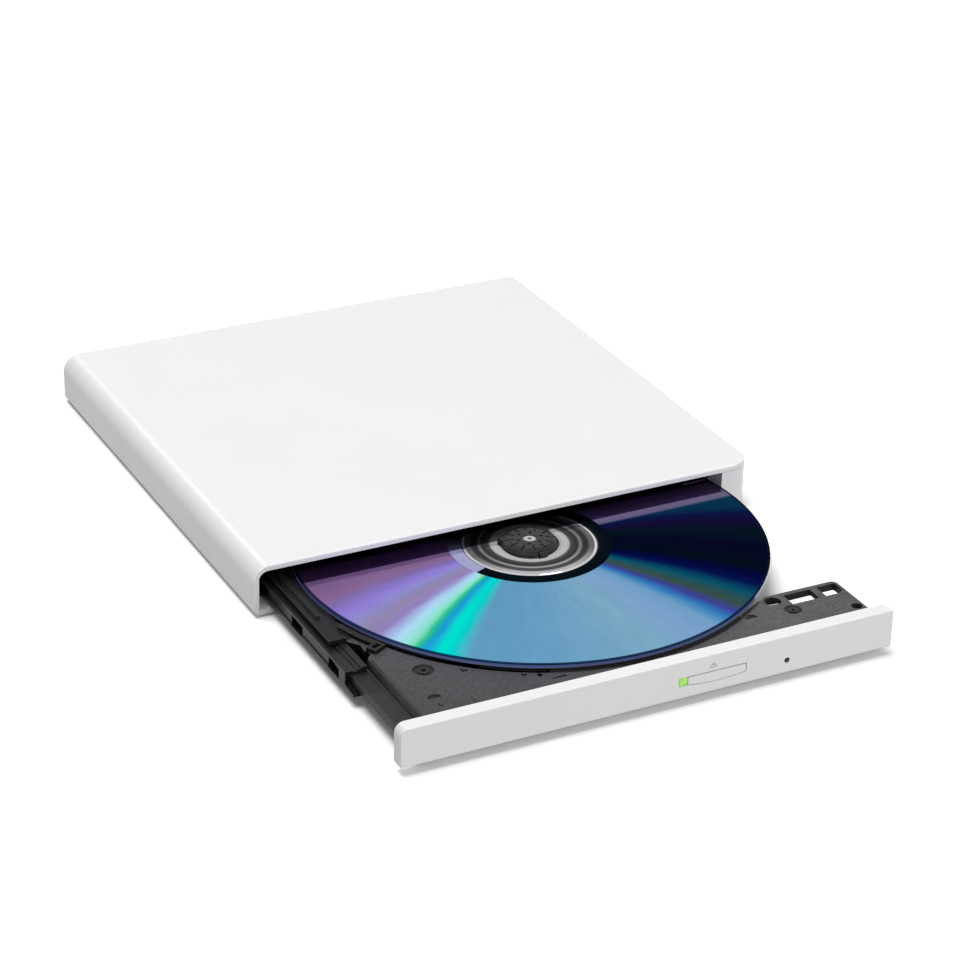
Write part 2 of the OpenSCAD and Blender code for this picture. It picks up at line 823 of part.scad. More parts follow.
// Ringed boss sunk in the deck
module ring_mark(p, r) {
    translate([p.x, p.y, deck_z - 0.5]) difference() {
        cylinder(r1 = r - 0.4, r2 = r + 0.4, h = 0.8);
        translate([0, 0, -cut]) cylinder(r = r - 1, h = 0.4 + cut);
    }
    post(p, r / 2, deck_z - 0.9, deck_z);
}

// Plan of the curved rib beside the well, with its square end
module rib_plan() {
    inner = well_r + 0.2;
    difference() {
        intersection() {
            circle(inner + 1.6);
            polygon([[0, 0], disc_d * [cos(rib_start), sin(rib_start)],
                disc_d * [cos(rib_end), sin(rib_end)]]);
        }
        circle(inner);
    }
    rotate(rib_end) translate([inner, -1.4]) square([4, 2.8]);
}

module tray_solid() {
    flange_top = flange_z + flange_t;
    rim_h = 2;
    up(deck_base, deck_z) tray_plan();
    intersection() {
        up(well_base, deck_z) tray_plan();
        translate([0, disc_back, 0]) cylinder(r = well_r + tray_wall, h = deck_z);
    }
    box([left_wall_x, bezel_t, tray_z], [plate_right, bezel_t + tray_wall, deck_z]);
    box([left_wall_x, bezel_t, tray_z], [left_wall_x + tray_wall, tray_len, deck_z]);
    box([left_wall_x, flange_start, deck_base], [left_wall_x + tray_wall, tray_len, flange_top]);
    box([left_out + 1.5, flange_start, flange_z], [left_wall_x + cut, tray_len, flange_top]);
    box([left_out + 1.5, flange_start, flange_top - cut],
        [left_wall_x, flange_start + 0.7, flange_top + 0.25]);
    box([left_wall_x - 2.6, flange_start + 11.6, flange_top - cut],
        [left_wall_x - 1.5, tray_len, flange_top + 0.6]);
    box([left_out + rail_wall + slide_gap, bezel_t, left_tongue_z],
        [left_wall_x + cut, tray_len, left_tongue_z + left_tongue_t]);
    box([left_wall_x + 1.2, bezel_t, deck_z - cut],
        [left_wall_x + 1.6, flange_start - 11.3, deck_z + 0.15]);
    box([right_wall_x - tray_wall, bezel_t, tray_z], [right_wall_x, tray_len, well_z]);
    box([right_wall_x - cut, right_front - 1, right_tongue_z],
        [tray_right, tray_len, right_tongue_z + right_tongue_t]);
    box([left_wall_x, tray_len - tray_wall, tray_z], [right_wall_x, tray_len, well_z]);
    up(deck_z - rim_h, deck_z) intersection() {
        tray_plan();
        difference() {
            translate([plate_left, bezel_t]) square([plate_right, plate_back]);
            translate([plate_left - 1, 0]) square([plate_right - plate_left, plate_back - 1]);
        }
    }
    up(deck_z - cut, deck_z + rib_h) intersection() {
        tray_plan();
        translate([0, disc_back]) rib_plan();
    }
    for (x = [left_wall_x + 8 : 11 : -8]) {
        box([x, bezel_t, deck_base - 1.6], [x + 1, bezel_t + 5.5, deck_base + cut]);
    }
    for (p = under_spots()) post(p, 3.6, tray_z, deck_base);
    for (x = [switch_x - front_post, switch_x + front_post]) {
        post([x, front_post_y], 2.4, front_board_z + board_t, well_base + cut);
    }
}

module tray() {
    hole_gap = 0.15;
    color("dimgray") difference() {
        union() {
            at_tray() tray_solid();
            at_unit() for (p = damper_spots) post(p, 4.4, unit_z + unit_t + 1, well_base + cut);
        }
        at_tray() {
            intersection() {
                translate([0, disc_back, well_z]) cylinder(r = well_r, h = 5);
                box([left_wall_x + tray_wall, 0, well_z], [right, tray_len + well_r, top_z]);
            }
            up(deck_base - 1, deck_z + cut) translate([left_wall_x, flange_start]) polygon([[-cut, -0.7],
                [2, -3.5], [1.8, -6.3], [2.6, -8.1], [1.4, -9.6], [-cut, -11.5]]);
            along_y(bezel_t - cut, flange_start - 9.8) translate([left_wall_x, 0]) shoulder_waste();
            dimple([left_wall_x + 7.5, 15.6]);
            dimple([tray_right + 1.4, 17]);
            ring_mark([left_wall_x + 10.5, 28.2], 2.5);
            ring_mark([plate_right - 17, 16.6], 2.1);
            post([-26.3, 15.8], 0.9, deck_z - 0.5, deck_z + cut);
            up(deck_base - 1, deck_z + cut) {
                translate([plate_right - 19.4, 22]) intersection() {
                    circle(2.1);
                    translate([-3, -1.5]) square([6, 4]);
                }
                translate([plate_right - 15.6, 18.8]) square([7.6, 4.7]);
                translate([plate_right - 6, 18.9])
                    polygon([[0, 0], [4, 0], [5.3, 1.2], [5.3, 4.7], [0, 4.7]]);
            }
            post([plate_right - 2, 11.6], 2.8, deck_base - cut, deck_z + cut);
            translate([0, disc_back, deck_z + 0.15]) rotate(rib_end)
                translate([well_r + 1, -0.7, 0]) cube([2.4, 1.4, 1]);
            for (x = clip_spots) {
                box([x - clip.x / 2 - hole_gap, bezel_t - cut, clip_z - hole_gap],
                    [x + clip.x / 2 + hole_gap, bezel_t + tray_wall + cut, clip_z + clip.y + hole_gap]);
            }
            box([switch_x - stem.x / 2 - 0.3, bezel_t - cut, stem_z - stem.y / 2 - 0.3],
                [switch_x + stem.x / 2 + 0.3, bezel_t + tray_wall + cut, stem_z + stem.y / 2 + 0.3]);
            box([light_x - 0.2, bezel_t - cut, button_z - button_h - 0.2],
                [light_x + light_w + 0.2, bezel_t + tray_wall + cut, deck_base - 0.05]);
            translate([pin_hole_x, bezel_t - cut, pin_hole_z]) rotate([-90, 0, 0])
                cylinder(d = pin_hole_d + 0.6, h = tray_wall + 2 * cut);
            for (p = under_spots()) post(p, small_screw_d + 2 * run_gap, tray_z - cut, tray_z + 2.5);
        }
        intersection() {
            at_unit() up(well_base - cut, deck_z) unit_plan(0.6);
            at_disc() cylinder(r = disc_d / 2 - 0.4, h = deck_z);
        }
        at_unit() for (p = damper_spots) post(p, small_screw_d + 2 * run_gap, unit_z, well_base - 0.2);
    }
}

// Outline of the button's face, grown by a gap: straight top, bowed lower edge
function button_outline(gap) = concat(
    [[button_x - gap, button_z + gap], [button_x + button_w + gap, button_z + gap]],
    [for (i = [0 : 16]) let (s = i / 16)
        [button_x + button_w + gap - s * (button_w + 2 * gap),
         button_z - button_end_h - s * (button_h - button_end_h) - button_bow * sin(180 * s) - gap]]);

module bezel_outline(inset) {
    low = [bezel_left + inset, bezel_z + inset];
    high = [bezel_right - inset, bezel_top - inset];
    difference() {
        translate(low) square(high - low);
        corner_waste([low.x, high.y], [1, -1], max(bezel_r - inset, 0.5));
        corner_waste(low, [1, 1], 0.5);
        corner_waste([high.x, low.y], [-1, 1], 0.4);
        corner_waste(high, [-1, -1], 0.4);
    }
}

module front_bezel() {
    wall = 1.2;
    color("white") at_tray() {
        difference() {
            along_y(0, bezel_t) bezel_outline(0);
            difference() {
                along_y(bezel_wall, bezel_t + cut) bezel_outline(wall);
                box([bezel_right - wall - bezel_taper - 1, 0, 0], [right, bezel_t + 1, top_z]);
            }
            up(bezel_z - cut, bezel_top + cut) polygon([[bezel_right + cut, 0], [bezel_right, 0.8],
                [bezel_right - bezel_taper, bezel_t + cut], [bezel_right + 1, bezel_t + cut]]);
            along_x(bezel_left - cut, bezel_right + cut) {
                for (e = [[bezel_z, 1], [bezel_top, -1]]) {
                    polygon([[-cut, e[0] - cut * e[1]], [bezel_bevel, e[0] - cut * e[1]],
                        [-cut, e[0] + bezel_bevel * e[1]]]);
                }
            }
            along_y(-cut, bezel_wall + cut) {
                polygon(button_outline(button_gap));
                translate([light_x - button_gap, button_z - button_h - button_gap])
                    square([light_w + 2 * button_gap, button_h + 2 * button_gap]);
            }
            translate([pin_hole_x, -cut, pin_hole_z]) rotate([-90, 0, 0])
                cylinder(d = pin_hole_d, h = bezel_t + 2 * cut);
        }
        for (x = clip_spots) {
            box([x - clip.x / 2, bezel_wall - cut, clip_z],
                [x + clip.x / 2, bezel_t + tray_wall + 0.9, clip_z + clip.y]);
            along_x(x - clip.x / 2, x + clip.x / 2) translate([bezel_t + tray_wall, clip_z + clip.y])
                polygon([[0.1, -cut], [0.1, 0.25], [0.9, -cut]]);
        }
    }
}

module light_pipe() {
    color("lime") at_tray() {
        box([light_x, 0, button_z - button_h], [light_x + light_w, bezel_t, button_z]);
        box([light_x, bezel_t - cut, button_z - button_h],
            [light_x + light_w, switch_y - 0.8, deck_base - 0.3]);
        box([light_x, switch_y - 1.8, front_board_z + board_t],
            [light_x + light_w, switch_y - 0.8, button_z - button_h + cut]);
    }
}

module status_led() {
    led = 1.6;
    color("ivory") at_tray()
        translate([light_x + (light_w - led) / 2, switch_y - 0.75, front_board_z + board_t])
            cube([led, 1.2, 1.2]);
}

module front_board() {
    color("darkgreen") at_tray() box([light_x - 3.5, bezel_t + tray_wall + 0.3, front_board_z],
        [switch_x + front_post + 2, front_post_y + 2.5, front_board_z + board_t]);
}

module eject_switch() {
    hole = [1.9, 0.9];
    body = [5, 2.1];
    color("black") at_tray() difference() {
        box([switch_x - body.x / 2, switch_y, front_board_z + board_t],
            [switch_x + body.x / 2, switch_y + body.y, front_board_z + board_t + switch_h]);
        box([switch_x - hole.x / 2, switch_y - cut, stem_z - hole.y / 2],
            [switch_x + hole.x / 2, switch_y + body.y - 0.7, stem_z + hole.y / 2]);
    }
}

module switch_plunger() {
    tip = [1.7, 0.7];
    color("gray") at_tray() box([switch_x - tip.x / 2, plunger_y, stem_z - tip.y / 2],
        [switch_x + tip.x / 2, switch_y + 0.7, stem_z + tip.y / 2]);
}

module eject_button() {
    lip = 0.4;
    lip_y = bezel_wall + 0.05;
    color("white") at_tray() {
        along_y(0, lip_y + 0.6) polygon(button_outline(0));
        box([button_x + 0.3, lip_y, button_z - button_end_h - lip],
            [button_x + button_w + lip, lip_y + 0.6, button_z + lip]);
        box([switch_x - stem.x / 2, lip_y, stem_z - stem.y / 2],
            [switch_x + stem.x / 2, plunger_y, stem_z + stem.y / 2]);
    }
}

module under_cover() {
    color("silver") difference() {
        at_tray() box([left_wall_x, bezel_t + tray_wall + 0.5, under_z], [right_wall_x, tray_len, tray_z]);
        at_tray() for (p = under_spots()) post(p, 1.4, under_z - cut, tray_z + cut);
        at_unit() for (p = damper_spots) post(p, 4.2, under_z - cut, tray_z + cut);
    }
}

module under_cover_screws() {
    color("gray") at_tray() for (p = under_spots()) {
        screw_up(p, small_screw_d, small_head_d, 0.25, under_z, tray_z + 2.2);
    }
}

// Ear of the frame round a damper, reaching in to the frame's plate
module ear_plan(p, w) {
    reach = 3;
    q = [max(p.x, unit_in + reach), min(max(p.y, unit_low + reach), unit_high - reach)];
    low = [min(p.x, q.x) - w / 2, min(p.y, q.y) - w / 2];
    high = [max(p.x, q.x) + w / 2, max(p.y, q.y) + w / 2];
    translate(low) square(high - low);
}

module unit_frame() {
    ear = 6.4;
    color("gray") at_unit() {
        difference() {
            union() {
                up(unit_z, unit_z + unit_t) {
                    unit_plan(0);
                    for (p = damper_spots) ear_plan(p, ear);
                }
                for (p = [[-13, -15], [-13, 17], [50, -17.2], [11, 20.2]]) post(p, 1.4, unit_z, cover_z);
            }
            up(unit_z - cut, unit_z + unit_t + cut) {
                translate([window_in, -11.5]) square([window_out - window_in, 22]);
                circle(seat_r);
            }
            for (p = damper_spots) post(p, 1.8, unit_z - cut, unit_z + unit_t + cut);
        }
    }
}

module unit_dampers() {
    color("black") at_unit() for (p = damper_spots) difference() {
        post(p, 4.2, unit_z + unit_t, unit_z + unit_t + 1);
        post(p, 1.8, unit_z, unit_z + unit_t + 2);
    }
}

module damper_screws() {
    color("silver") at_unit() for (p = damper_spots) {
        screw_up(p, small_screw_d, small_head_d, 0.3, unit_z, well_base - 0.4);
    }
}

module unit_cover() {
    color("black") difference() {
        intersection() {
            at_unit() up(cover_z, cover_z + cover_plate_t) unit_plan(0);
            at_disc() cylinder(r = disc_d / 2 - 1.6, h = deck_z);
        }
        at_disc() cylinder(r = table_d / 2 + 0.6, h = deck_z);
        at_unit() box([lens_in + pickup_in - 0.4, -pickup_nose - 0.5, unit_z],
            [unit_out, pickup_nose + 0.5, deck_z]);
    }
}

// Plan of the stator's core, with its poles
module stator_core(poles, core_r, pole_r) {
    circle(core_r);
    for (i = [0 : poles - 1]) rotate(360 * i / poles) {
        translate([core_r - 1, -0.7]) square([pole_r - core_r, 1.4]);
        intersection() {
            translate([pole_r - 1, -2.6]) square([2, 5.2]);
            circle(pole_r);
        }
    }
}

module stator() {
    poles = 9;
    core_r = 4.5;
    pole_r = rotor_d / 2 - 1.6;
    base = unit_z + unit_t;
    winding = [2.4, 2.3];
    color("peru") at_disc() difference() {
        union() {
            translate([0, 0, unit_z]) cylinder(r = seat_r - fit_gap, h = unit_t);
            translate([0, 0, base]) cylinder(r = rotor_d / 2 - 0.2, h = 0.15);
            post([0, 0], shaft_d + 3, base, base + 3);
            up(base + 0.6, base + 2.2) stator_core(poles, core_r, pole_r);
            for (i = [0 : poles - 1]) rotate(360 * i / poles) {
                translate([core_r + 0.7, -winding.y / 2, base + 0.4]) cube([winding.x, winding.y, 2]);
            }
        }
        post([0, 0], shaft_d + 2 * run_gap, unit_z + 0.2, base + 4);
    }
}

module guide_rods() {
    color("silver") at_unit() for (v = [rod_low, rod_high]) {
        translate([window_in - 2, v, axis_z]) rotate([0, 90, 0])
            cylinder(d = rod_d, h = window_out - window_in + 4.3);
    }
}

module rod_holders() {
    block = [2.4, 3.4];
    far = window_out + 0.3;
    color("black") at_unit() difference() {
        union() {
            for (u = [window_in - 2.6, far]) {
                for (v = [rod_low, rod_high]) {
                    box([u, v - block.y / 2, unit_z + unit_t],
                        [u + block.x, v + block.y / 2, axis_z + 1.1]);
                }
            }
            box([far, screw_v - block.y / 2, unit_z + unit_t],
                [far + block.x, screw_v + block.y / 2, axis_z + 1.1]);
        }
        for (v = [rod_low, rod_high]) translate([window_in - 2, v, axis_z]) rotate([0, 90, 0])
            cylinder(d = rod_d + 2 * run_gap, h = window_out - window_in + 4.4);
        translate([far - cut, screw_v, axis_z]) rotate([0, 90, 0])
            cylinder(d = screw_d + 2 * run_gap, h = 1.9 + cut);
    }
}

// Sled motor and the lead screw that it turns
motor_in = -4;
motor_out = 8;

module sled_motor() {
    color("silver") at_unit() difference() {
        union() {
            translate([motor_in, screw_v, axis_z]) rotate([0, 90, 0])
                cylinder(d = motor_d, h = motor_out - motor_in);
            box([motor_in + 1, screw_v - 1.1, unit_z + unit_t],
                [motor_out - 1, screw_v + 1.1, axis_z - 0.8]);
        }
        translate([motor_out - 4, screw_v, axis_z]) rotate([0, 90, 0])
            cylinder(d = screw_d + 2 * run_gap, h = 5);
    }
}

module lead_screw() {
    color("gray") at_unit() translate([motor_out - 3.8, screw_v, axis_z]) rotate([0, 90, 0])
        cylinder(d = screw_d, h = window_out + 2 - motor_out + 3.8);
}

module at_pickup() {
    at_unit() translate([lens_r, 0, 0]) children();
}

module pickup() {
    low = unit_z + unit_t + 0.2;
    wing_top = cover_z - 0.3;
    wing_out = pickup_out - 4;
    bush_z = [axis_z - 1.5, axis_z + 1.5];
    color("darkgray") at_pickup() difference() {
        union() {
            box([pickup_in, -pickup_w, low], [wing_out, pickup_w, wing_top]);
            box([pickup_in, -pickup_nose, low], [pickup_out, pickup_nose, pickup_top]);
            box([pickup_in, pickup_w - 1, bush_z[0]], [wing_out, rod_high + bush, bush_z[1]]);
            box([pickup_in + 4, rod_low - bush, bush_z[0]], [wing_out, 1 - pickup_w, bush_z[1]]);
        }
        translate([pickup_in - cut, rod_high, axis_z]) rotate([0, 90, 0])
            cylinder(d = rod_d + 2 * run_gap, h = pickup_out - pickup_in);
        box([pickup_in, rod_low - bush - cut, axis_z - rod_d / 2 - run_gap],
            [pickup_out, rod_low + rod_d / 2 + run_gap, axis_z + rod_d / 2 + run_gap]);
        post([0, 0], 6.8, lens_z - 0.3, pickup_top + cut);
        box([pickup_in - cut, -7, low - cut], [pickup_in + 4, -3, low + 1.4]);
        for (v = [-9.5, 6.5]) {
            box([pickup_in + 1.5, v, wing_top - 0.5], [wing_out - 1.5, v + 3, wing_top + cut]);
        }
    }
}

module lead_nut() {
    color("ivory") at_pickup() difference() {
        box([-8, rod_high + bush, axis_z - 1.4], [-1, screw_v + 1.6, axis_z + 1.4]);
        translate([-9, screw_v, axis_z]) rotate([0, 90, 0]) cylinder(d = screw_d + 2 * run_gap, h = 12);
    }
}

// The lens rides in its holder, clear of the pickup below by the focus travel
lens_z = pickup_top - 1.1;
lens_top = pickup_top + 0.3;

module lens_holder() {
    color("black") at_pickup() difference() {
        post([0, 0], 6.2, lens_z, lens_top);
        post([0, 0], 4, lens_z + 0.4, lens_top + cut);
        post([0, 0], 2.6, lens_z - cut, lens_top);
    }
}

module lens() {
    r = 2.4;
    color("lightblue") at_pickup() translate([0, 0, lens_z + 0.4]) intersection() {
        cylinder(d = 4, h = 2);
        translate([0, 0, 1.15 - r]) sphere(r);
    }
}

module rotor() {
    can = 0.8;
    roof = 0.6;
    seat_z = table_z - table_t;
    cap_r = 1.7;
    color("silver") at_disc() rotate_extrude() {
        translate([rotor_d / 2 - can, rotor_z]) square([can, seat_z - rotor_z]);
        translate([0, seat_z - roof]) square([rotor_d / 2, roof]);
        translate([0, seat_z]) square([table_d / 2, table_t]);
        translate([0, unit_z + unit_t]) square([shaft_d / 2, seat_z - unit_z - unit_t]);
        translate([0, seat_z]) square([cap_r, hub_top - 0.15 - seat_z]);
    }
}

module turntable_pad() {
    color("black") at_disc() rotate_extrude()
        translate([table_d / 2 - 4.5, table_z]) square([4, disc_z - table_z]);
}

module hub_cap() {
    step = 360 / hub_slits;
    bore = 1.8;
    color("black") at_disc() difference() {
        rotate_extrude() polygon([[bore, table_z], [hub_r, table_z], [hub_r, disc_top + 0.25],
            [hub_r - 0.7, hub_top - 0.4], [hub_r - 1.9, hub_top], [bore, hub_top]]);
        for (i = [0 : 2]) rotate(30 + 120 * i) translate([bore + 1.2, -claw_w / 2 - 0.15, claw_z - 0.1])
            cube([hub_r, claw_w + 0.3, claw_t + 0.2]);
        for (i = [0 : hub_slits - 1]) rotate(step * (i + 0.5)) translate([bore + 2.2, -0.2, hub_top - 0.4])
            cube([hub_r, 0.4, 1]);
        for (i = [0 : 5]) rotate(60 * i) post([bore + 1.3, 0], 0.8, hub_top - 0.4, hub_top + cut);
    }
}

// Claw that holds the disc down, sprung outwards from the hub
module claw(i) {
    color("dimgray") at_disc() rotate(30 + 120 * i) translate([0, claw_w / 2, 0]) rotate([90, 0, 0])
        linear_extrude(claw_w) polygon([[4.4, claw_z], [claw_r, claw_z], [claw_r, claw_z + 0.25],
            [claw_r - 0.7, claw_z + claw_t], [4.4, claw_z + claw_t]]);
}

module disc() {
    ring = [16.4, 17.2];
    color("steelblue") at_disc() rotate_extrude() difference() {
        translate([disc_hole / 2, disc_z]) square([(disc_d - disc_hole) / 2, disc_t]);
        translate([ring[0], disc_top - 0.15]) square([ring[1] - ring[0], 1]);
    }
}

// Angle by which the latch stands open, as drawn
latch_open = 15;

// The latch is drawn shut and turned open round its pin
module at_latch() {
    at_tray() translate([latch_x, latch_y, 0]) rotate(-latch_open) children();
}

// Pin of the plunger's link on the latch's right arm
link_r = 6.5;
link_pin_d = 0.8;

module latch_lever() {
    hook_y = post_y + post_d / 2 + 0.5 - latch_y;
    tip_x = post_x - 0.8 - latch_x;
    arm = 2;
    color("ivory") at_latch() difference() {
        union() {
            post([0, 0], 2 * arm, latch_z, latch_z + latch_t);
            box([pin_hole_x - 1.2 - latch_x, -1.4, latch_z], [0, 0.4, latch_z + latch_t]);
            box([-arm / 2, 0, latch_z], [arm / 2, hook_y + hook_w, latch_z + latch_t]);
            box([0, -arm / 2, latch_z], [link_r + 1.2, arm / 2, latch_z + latch_t]);
            up(latch_z, latch_z + latch_t) polygon([[0, hook_y], [tip_x, hook_y], [tip_x, hook_y + 0.5],
                [-arm / 2, hook_y + hook_w], [0, hook_y + hook_w]]);
        }
        post([0, 0], latch_pin_d + 2 * run_gap, latch_z - cut, latch_z + latch_t + cut);
        post([link_r, 0], link_pin_d + 0.5, latch_z - cut, latch_z + latch_t + cut);
    }
}

module latch_pin() {
    color("silver") at_tray() {
        post([latch_x, latch_y], latch_pin_d, latch_z - 0.9, deck_base);
        post([latch_x, latch_y], 3, latch_z - 0.9, latch_z - 0.3);
    }
}

module latch_spring() {
    low = latch_z + latch_t + 0.05;
    color("silver") at_tray() difference() {
        union() {
            post([latch_x, latch_y], latch_pin_d + 1.6, low, deck_base);
            box([latch_x, latch_y + 0.8, low], [latch_x + 4, latch_y + 1.2, deck_base]);
        }
        post([latch_x, latch_y], latch_pin_d + 0.2, low - cut, deck_base + cut);
    }
}

// Solenoid whose magnet holds the latch shut until its coil lets go
coil_x = latch_x + link_r * (1 + cos(latch_open)) / 2;
coil_y = latch_y + 2.4;
coil_len = 8;
coil_w = 5;
coil_z = latch_z + latch_t / 2;
plunger_d = 1.8;
plunger_len = 6.5;

module solenoid() {
    low = deck_base - 3;
    plate = 1;
    color("gray") at_tray() difference() {
        union() {
            difference() {
                box([coil_x - coil_w / 2, coil_y, low],
                    [coil_x + coil_w / 2, coil_y + coil_len, deck_base]);
                box([coil_x - coil_w, coil_y + plate, low - cut],
                    [coil_x + coil_w, coil_y + coil_len - plate, deck_base - 0.5]);
            }
            translate([coil_x, coil_y + 0.5, coil_z]) rotate([-90, 0, 0])
                cylinder(d = 2.7, h = coil_len - 1);
        }
        translate([coil_x, coil_y - cut, coil_z]) rotate([-90, 0, 0])
            cylinder(d = plunger_d + 2 * run_gap, h = coil_len - plate + cut);
    }
}

module solenoid_plunger() {
    link_z = latch_z + latch_t + 0.1;
    link_t = 0.3;
    pin_y = latch_y - link_r * sin(latch_open);
    head_y = latch_y - 0.1;
    color("silver") at_tray() {
        translate([coil_x, head_y, coil_z]) rotate([-90, 0, 0]) cylinder(d = plunger_d, h = plunger_len);
        box([coil_x - 0.5, head_y, coil_z], [coil_x + 0.5, head_y + 0.6, link_z + link_t]);
        box([coil_x - 0.5, pin_y, link_z], [coil_x + 0.5, head_y + cut, link_z + link_t]);
        post([coil_x, pin_y], 1, link_z, link_z + link_t);
        post([coil_x, pin_y], link_pin_d, latch_z + 0.4, link_z + cut);
    }
}

top_cover();
bottom_cover();
rubber_feet();
case_screws();
chassis();
drive_lid();
lid_screws();
left_guide();
right_guide();
latch_post();
eject_spring();
main_board();
board_chips();
board_screws();
ribbon_connector();
flex_ribbon();
usb_socket();
left_rail();
right_rail();
tray();
front_bezel();
light_pipe();
status_led();
front_board();
eject_switch();
switch_plunger();
eject_button();
under_cover();
under_cover_screws();
unit_frame();
unit_dampers();
damper_screws();
unit_cover();
stator();
guide_rods();
rod_holders();
sled_motor();
lead_screw();
pickup();
lead_nut();
lens_holder();
lens();
rotor();
turntable_pad();
hub_cap();
claw(0);  // hub_claw_1
claw(1);  // hub_claw_2
claw(2);  // hub_claw_3
disc();
latch_lever();
latch_pin();
latch_spring();
solenoid();
solenoid_plunger();
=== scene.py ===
import math

import bpy
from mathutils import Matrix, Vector


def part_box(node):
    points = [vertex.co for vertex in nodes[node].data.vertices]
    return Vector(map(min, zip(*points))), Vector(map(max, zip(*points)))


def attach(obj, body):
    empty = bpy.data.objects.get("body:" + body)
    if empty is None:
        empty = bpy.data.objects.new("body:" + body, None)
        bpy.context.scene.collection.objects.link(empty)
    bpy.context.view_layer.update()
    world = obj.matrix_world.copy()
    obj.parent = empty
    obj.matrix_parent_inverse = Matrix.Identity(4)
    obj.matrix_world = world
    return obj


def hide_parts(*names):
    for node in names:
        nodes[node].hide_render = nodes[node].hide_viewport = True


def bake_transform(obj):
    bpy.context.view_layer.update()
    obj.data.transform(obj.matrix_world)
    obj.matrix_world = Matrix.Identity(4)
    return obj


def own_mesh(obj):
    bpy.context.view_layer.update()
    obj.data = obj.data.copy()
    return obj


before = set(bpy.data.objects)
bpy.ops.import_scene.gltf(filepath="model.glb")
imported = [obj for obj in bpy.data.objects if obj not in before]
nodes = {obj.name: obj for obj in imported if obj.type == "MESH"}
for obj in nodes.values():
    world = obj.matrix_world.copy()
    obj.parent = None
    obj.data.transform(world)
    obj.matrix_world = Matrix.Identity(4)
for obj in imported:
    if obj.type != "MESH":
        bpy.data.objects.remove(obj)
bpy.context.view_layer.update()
scene = bpy.context.scene
scene.view_settings.view_transform = "Standard"

# Lengths are in metres; a length in millimetres is multiplied by MM, here or where it is used
MM = 0.001
ACROSS = Vector((1.0, 0.0, 0.0))
ALONG = Vector((0.0, 1.0, 0.0))
UP = Vector((0.0, 0.0, 1.0))
SQUARE = ((-1, -1), (1, -1), (1, 1), (-1, 1))

# The photograph's camera: place in metres, turns in degrees, lens and sensor in millimetres
EYE_PLACE = (-0.306503, -0.607654, 0.351308)
EYE_TURNS = (63.371656, -1.008757, -26.647556)
EYE_LENS = 109.9023
EYE_SENSOR = 36.0

# Places that the finishes and the soft pieces follow, read from the frame
rotor_low, rotor_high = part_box("rotor")
disc_low, disc_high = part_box("disc")
tray_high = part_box("tray")[1]
ribbon_low, ribbon_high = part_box("flex_ribbon")
SPINDLE = (rotor_low + rotor_high) / 2
DISC_RADIUS = disc_high.x - SPINDLE.x
BEZEL_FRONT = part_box("front_bezel")[0].y
TRAY_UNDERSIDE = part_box("under_cover")[0].z
BOARD_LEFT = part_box("main_board")[0].x
DECK = tray_high.z - 1.1 * MM
WELL = DECK - 0.9 * MM

# The bezel's front, in millimetres: places are across and height, the sign is a triangle over a bar
SIGN = (11.2, 9.2)
SIGN_HALF = 1.05
SIGN_SLOPE = 1.25
BAR_DROP = 0.38
BAR_HALF = 0.17
SIGN_DEPTH = 0.15
# The pin hole and the button's slot get painted shade deeper than HOLE_DEPTH behind the front
PIN_HOLE = (31.5, 5.6)
PIN_HOLE_RADIUS = 1.1
SLOT_HEIGHT = 6.3
SLOT_HALF = (9.7, 1.8)
HOLE_DEPTH = 0.25

# Shallow cuts in the tray's deck, painted dark as shade, in millimetres: middle across, middle along,
# size across, size along
DECK_CUTS = (
    (-41.9, -84.4, 0.4, 1.4),
    (-41.3, -84.9, 1.4, 0.6),
    (-30.0, -92.1, 0.4, 1.0),
    (-29.6, -92.5, 1.0, 0.6),
    (-53.3, -96.0, 0.25, 1.2),
    (-52.9, -96.6, 0.9, 0.35),
    (-22.7, -96.6, 3.6, 0.45),
    (-45.1, -96.9, 0.12, 2.8),
)
DECK_HOLE = (-26.5, -94.0)
DECK_HOLE_RADIUS = 0.65
DECK_SKIN = 0.08
# Painted light and shade: where the grain turns paler, across the tray, and its smooth walls turn from
# grey, a painted highlight, to black, a painted shade, along it
GRAIN_PAINTED_LIGHT = (-30.0 * MM, 40.0 * MM)
WALL_PAINTED_LIGHT = (-88.0 * MM, -70.0 * MM)
# Painted light: where the deck, a little paler beside the disc, turns to its own grey, by distance from
# the spindle
DECK_PAINTED_LIGHT = (DISC_RADIUS + 1.0 * MM, DISC_RADIUS + 18.0 * MM)

# Painted highlight along edges: how far from the edge, and the colour
HIGHLIGHT_REACH = 0.25 * MM
EDGE_HIGHLIGHT_COLOUR = (0.10, 0.10, 0.105)
BEVEL_SAMPLES = 6

# The disc's painted diffraction colours and highlights by angle in degrees: 90 is its back, 180 its left,
# 270 its front, 360 its right
FAN = (
    (90, "74648a"), (172, "745c84"), (181, "8c6a98"), (185, "8670b4"), (190, "9682de"),
    (194, "9490d4"), (199, "968ab0"), (203, "9a86c8"), (208, "b4e0ff"), (212, "90ecd0"),
    (214, "0cc484"), (216.5, "249cde"), (220, "00ecd6"), (223.5, "04d4d2"), (227.5, "64a0c4"),
    (245, "6aa2c8"), (273, "7eaeca"), (286, "80a8d2"), (293, "74a4cc"), (297.5, "2a80c0"),
    (301, "3e449e"), (305, "3a5242"), (311, "0c566e"), (316.5, "061650"), (321, "07083c"),
    (325, "04101e"), (338, "0a0b26"), (345, "051822"), (352, "160f36"), (357, "0c1646"),
    (361, "0a3450"),
)
FAN_START = 90
# The fan leans with the distance from the middle, to both sides of one turn
LEAN_SPAN = (20.0 * MM, DISC_RADIUS)
LEAN = 0.06
LEAN_TURN = 0.47
# The painted reflection over the right half of the back, by distance behind the middle: its edge and its
# fade
REFLECTION_EDGE = (1.0 * MM, 3.0 * MM)
REFLECTION_FADE = (2.4 * MM, 9.0 * MM)
REFLECTION_COLOURS = ("8c80a6", "74648a")
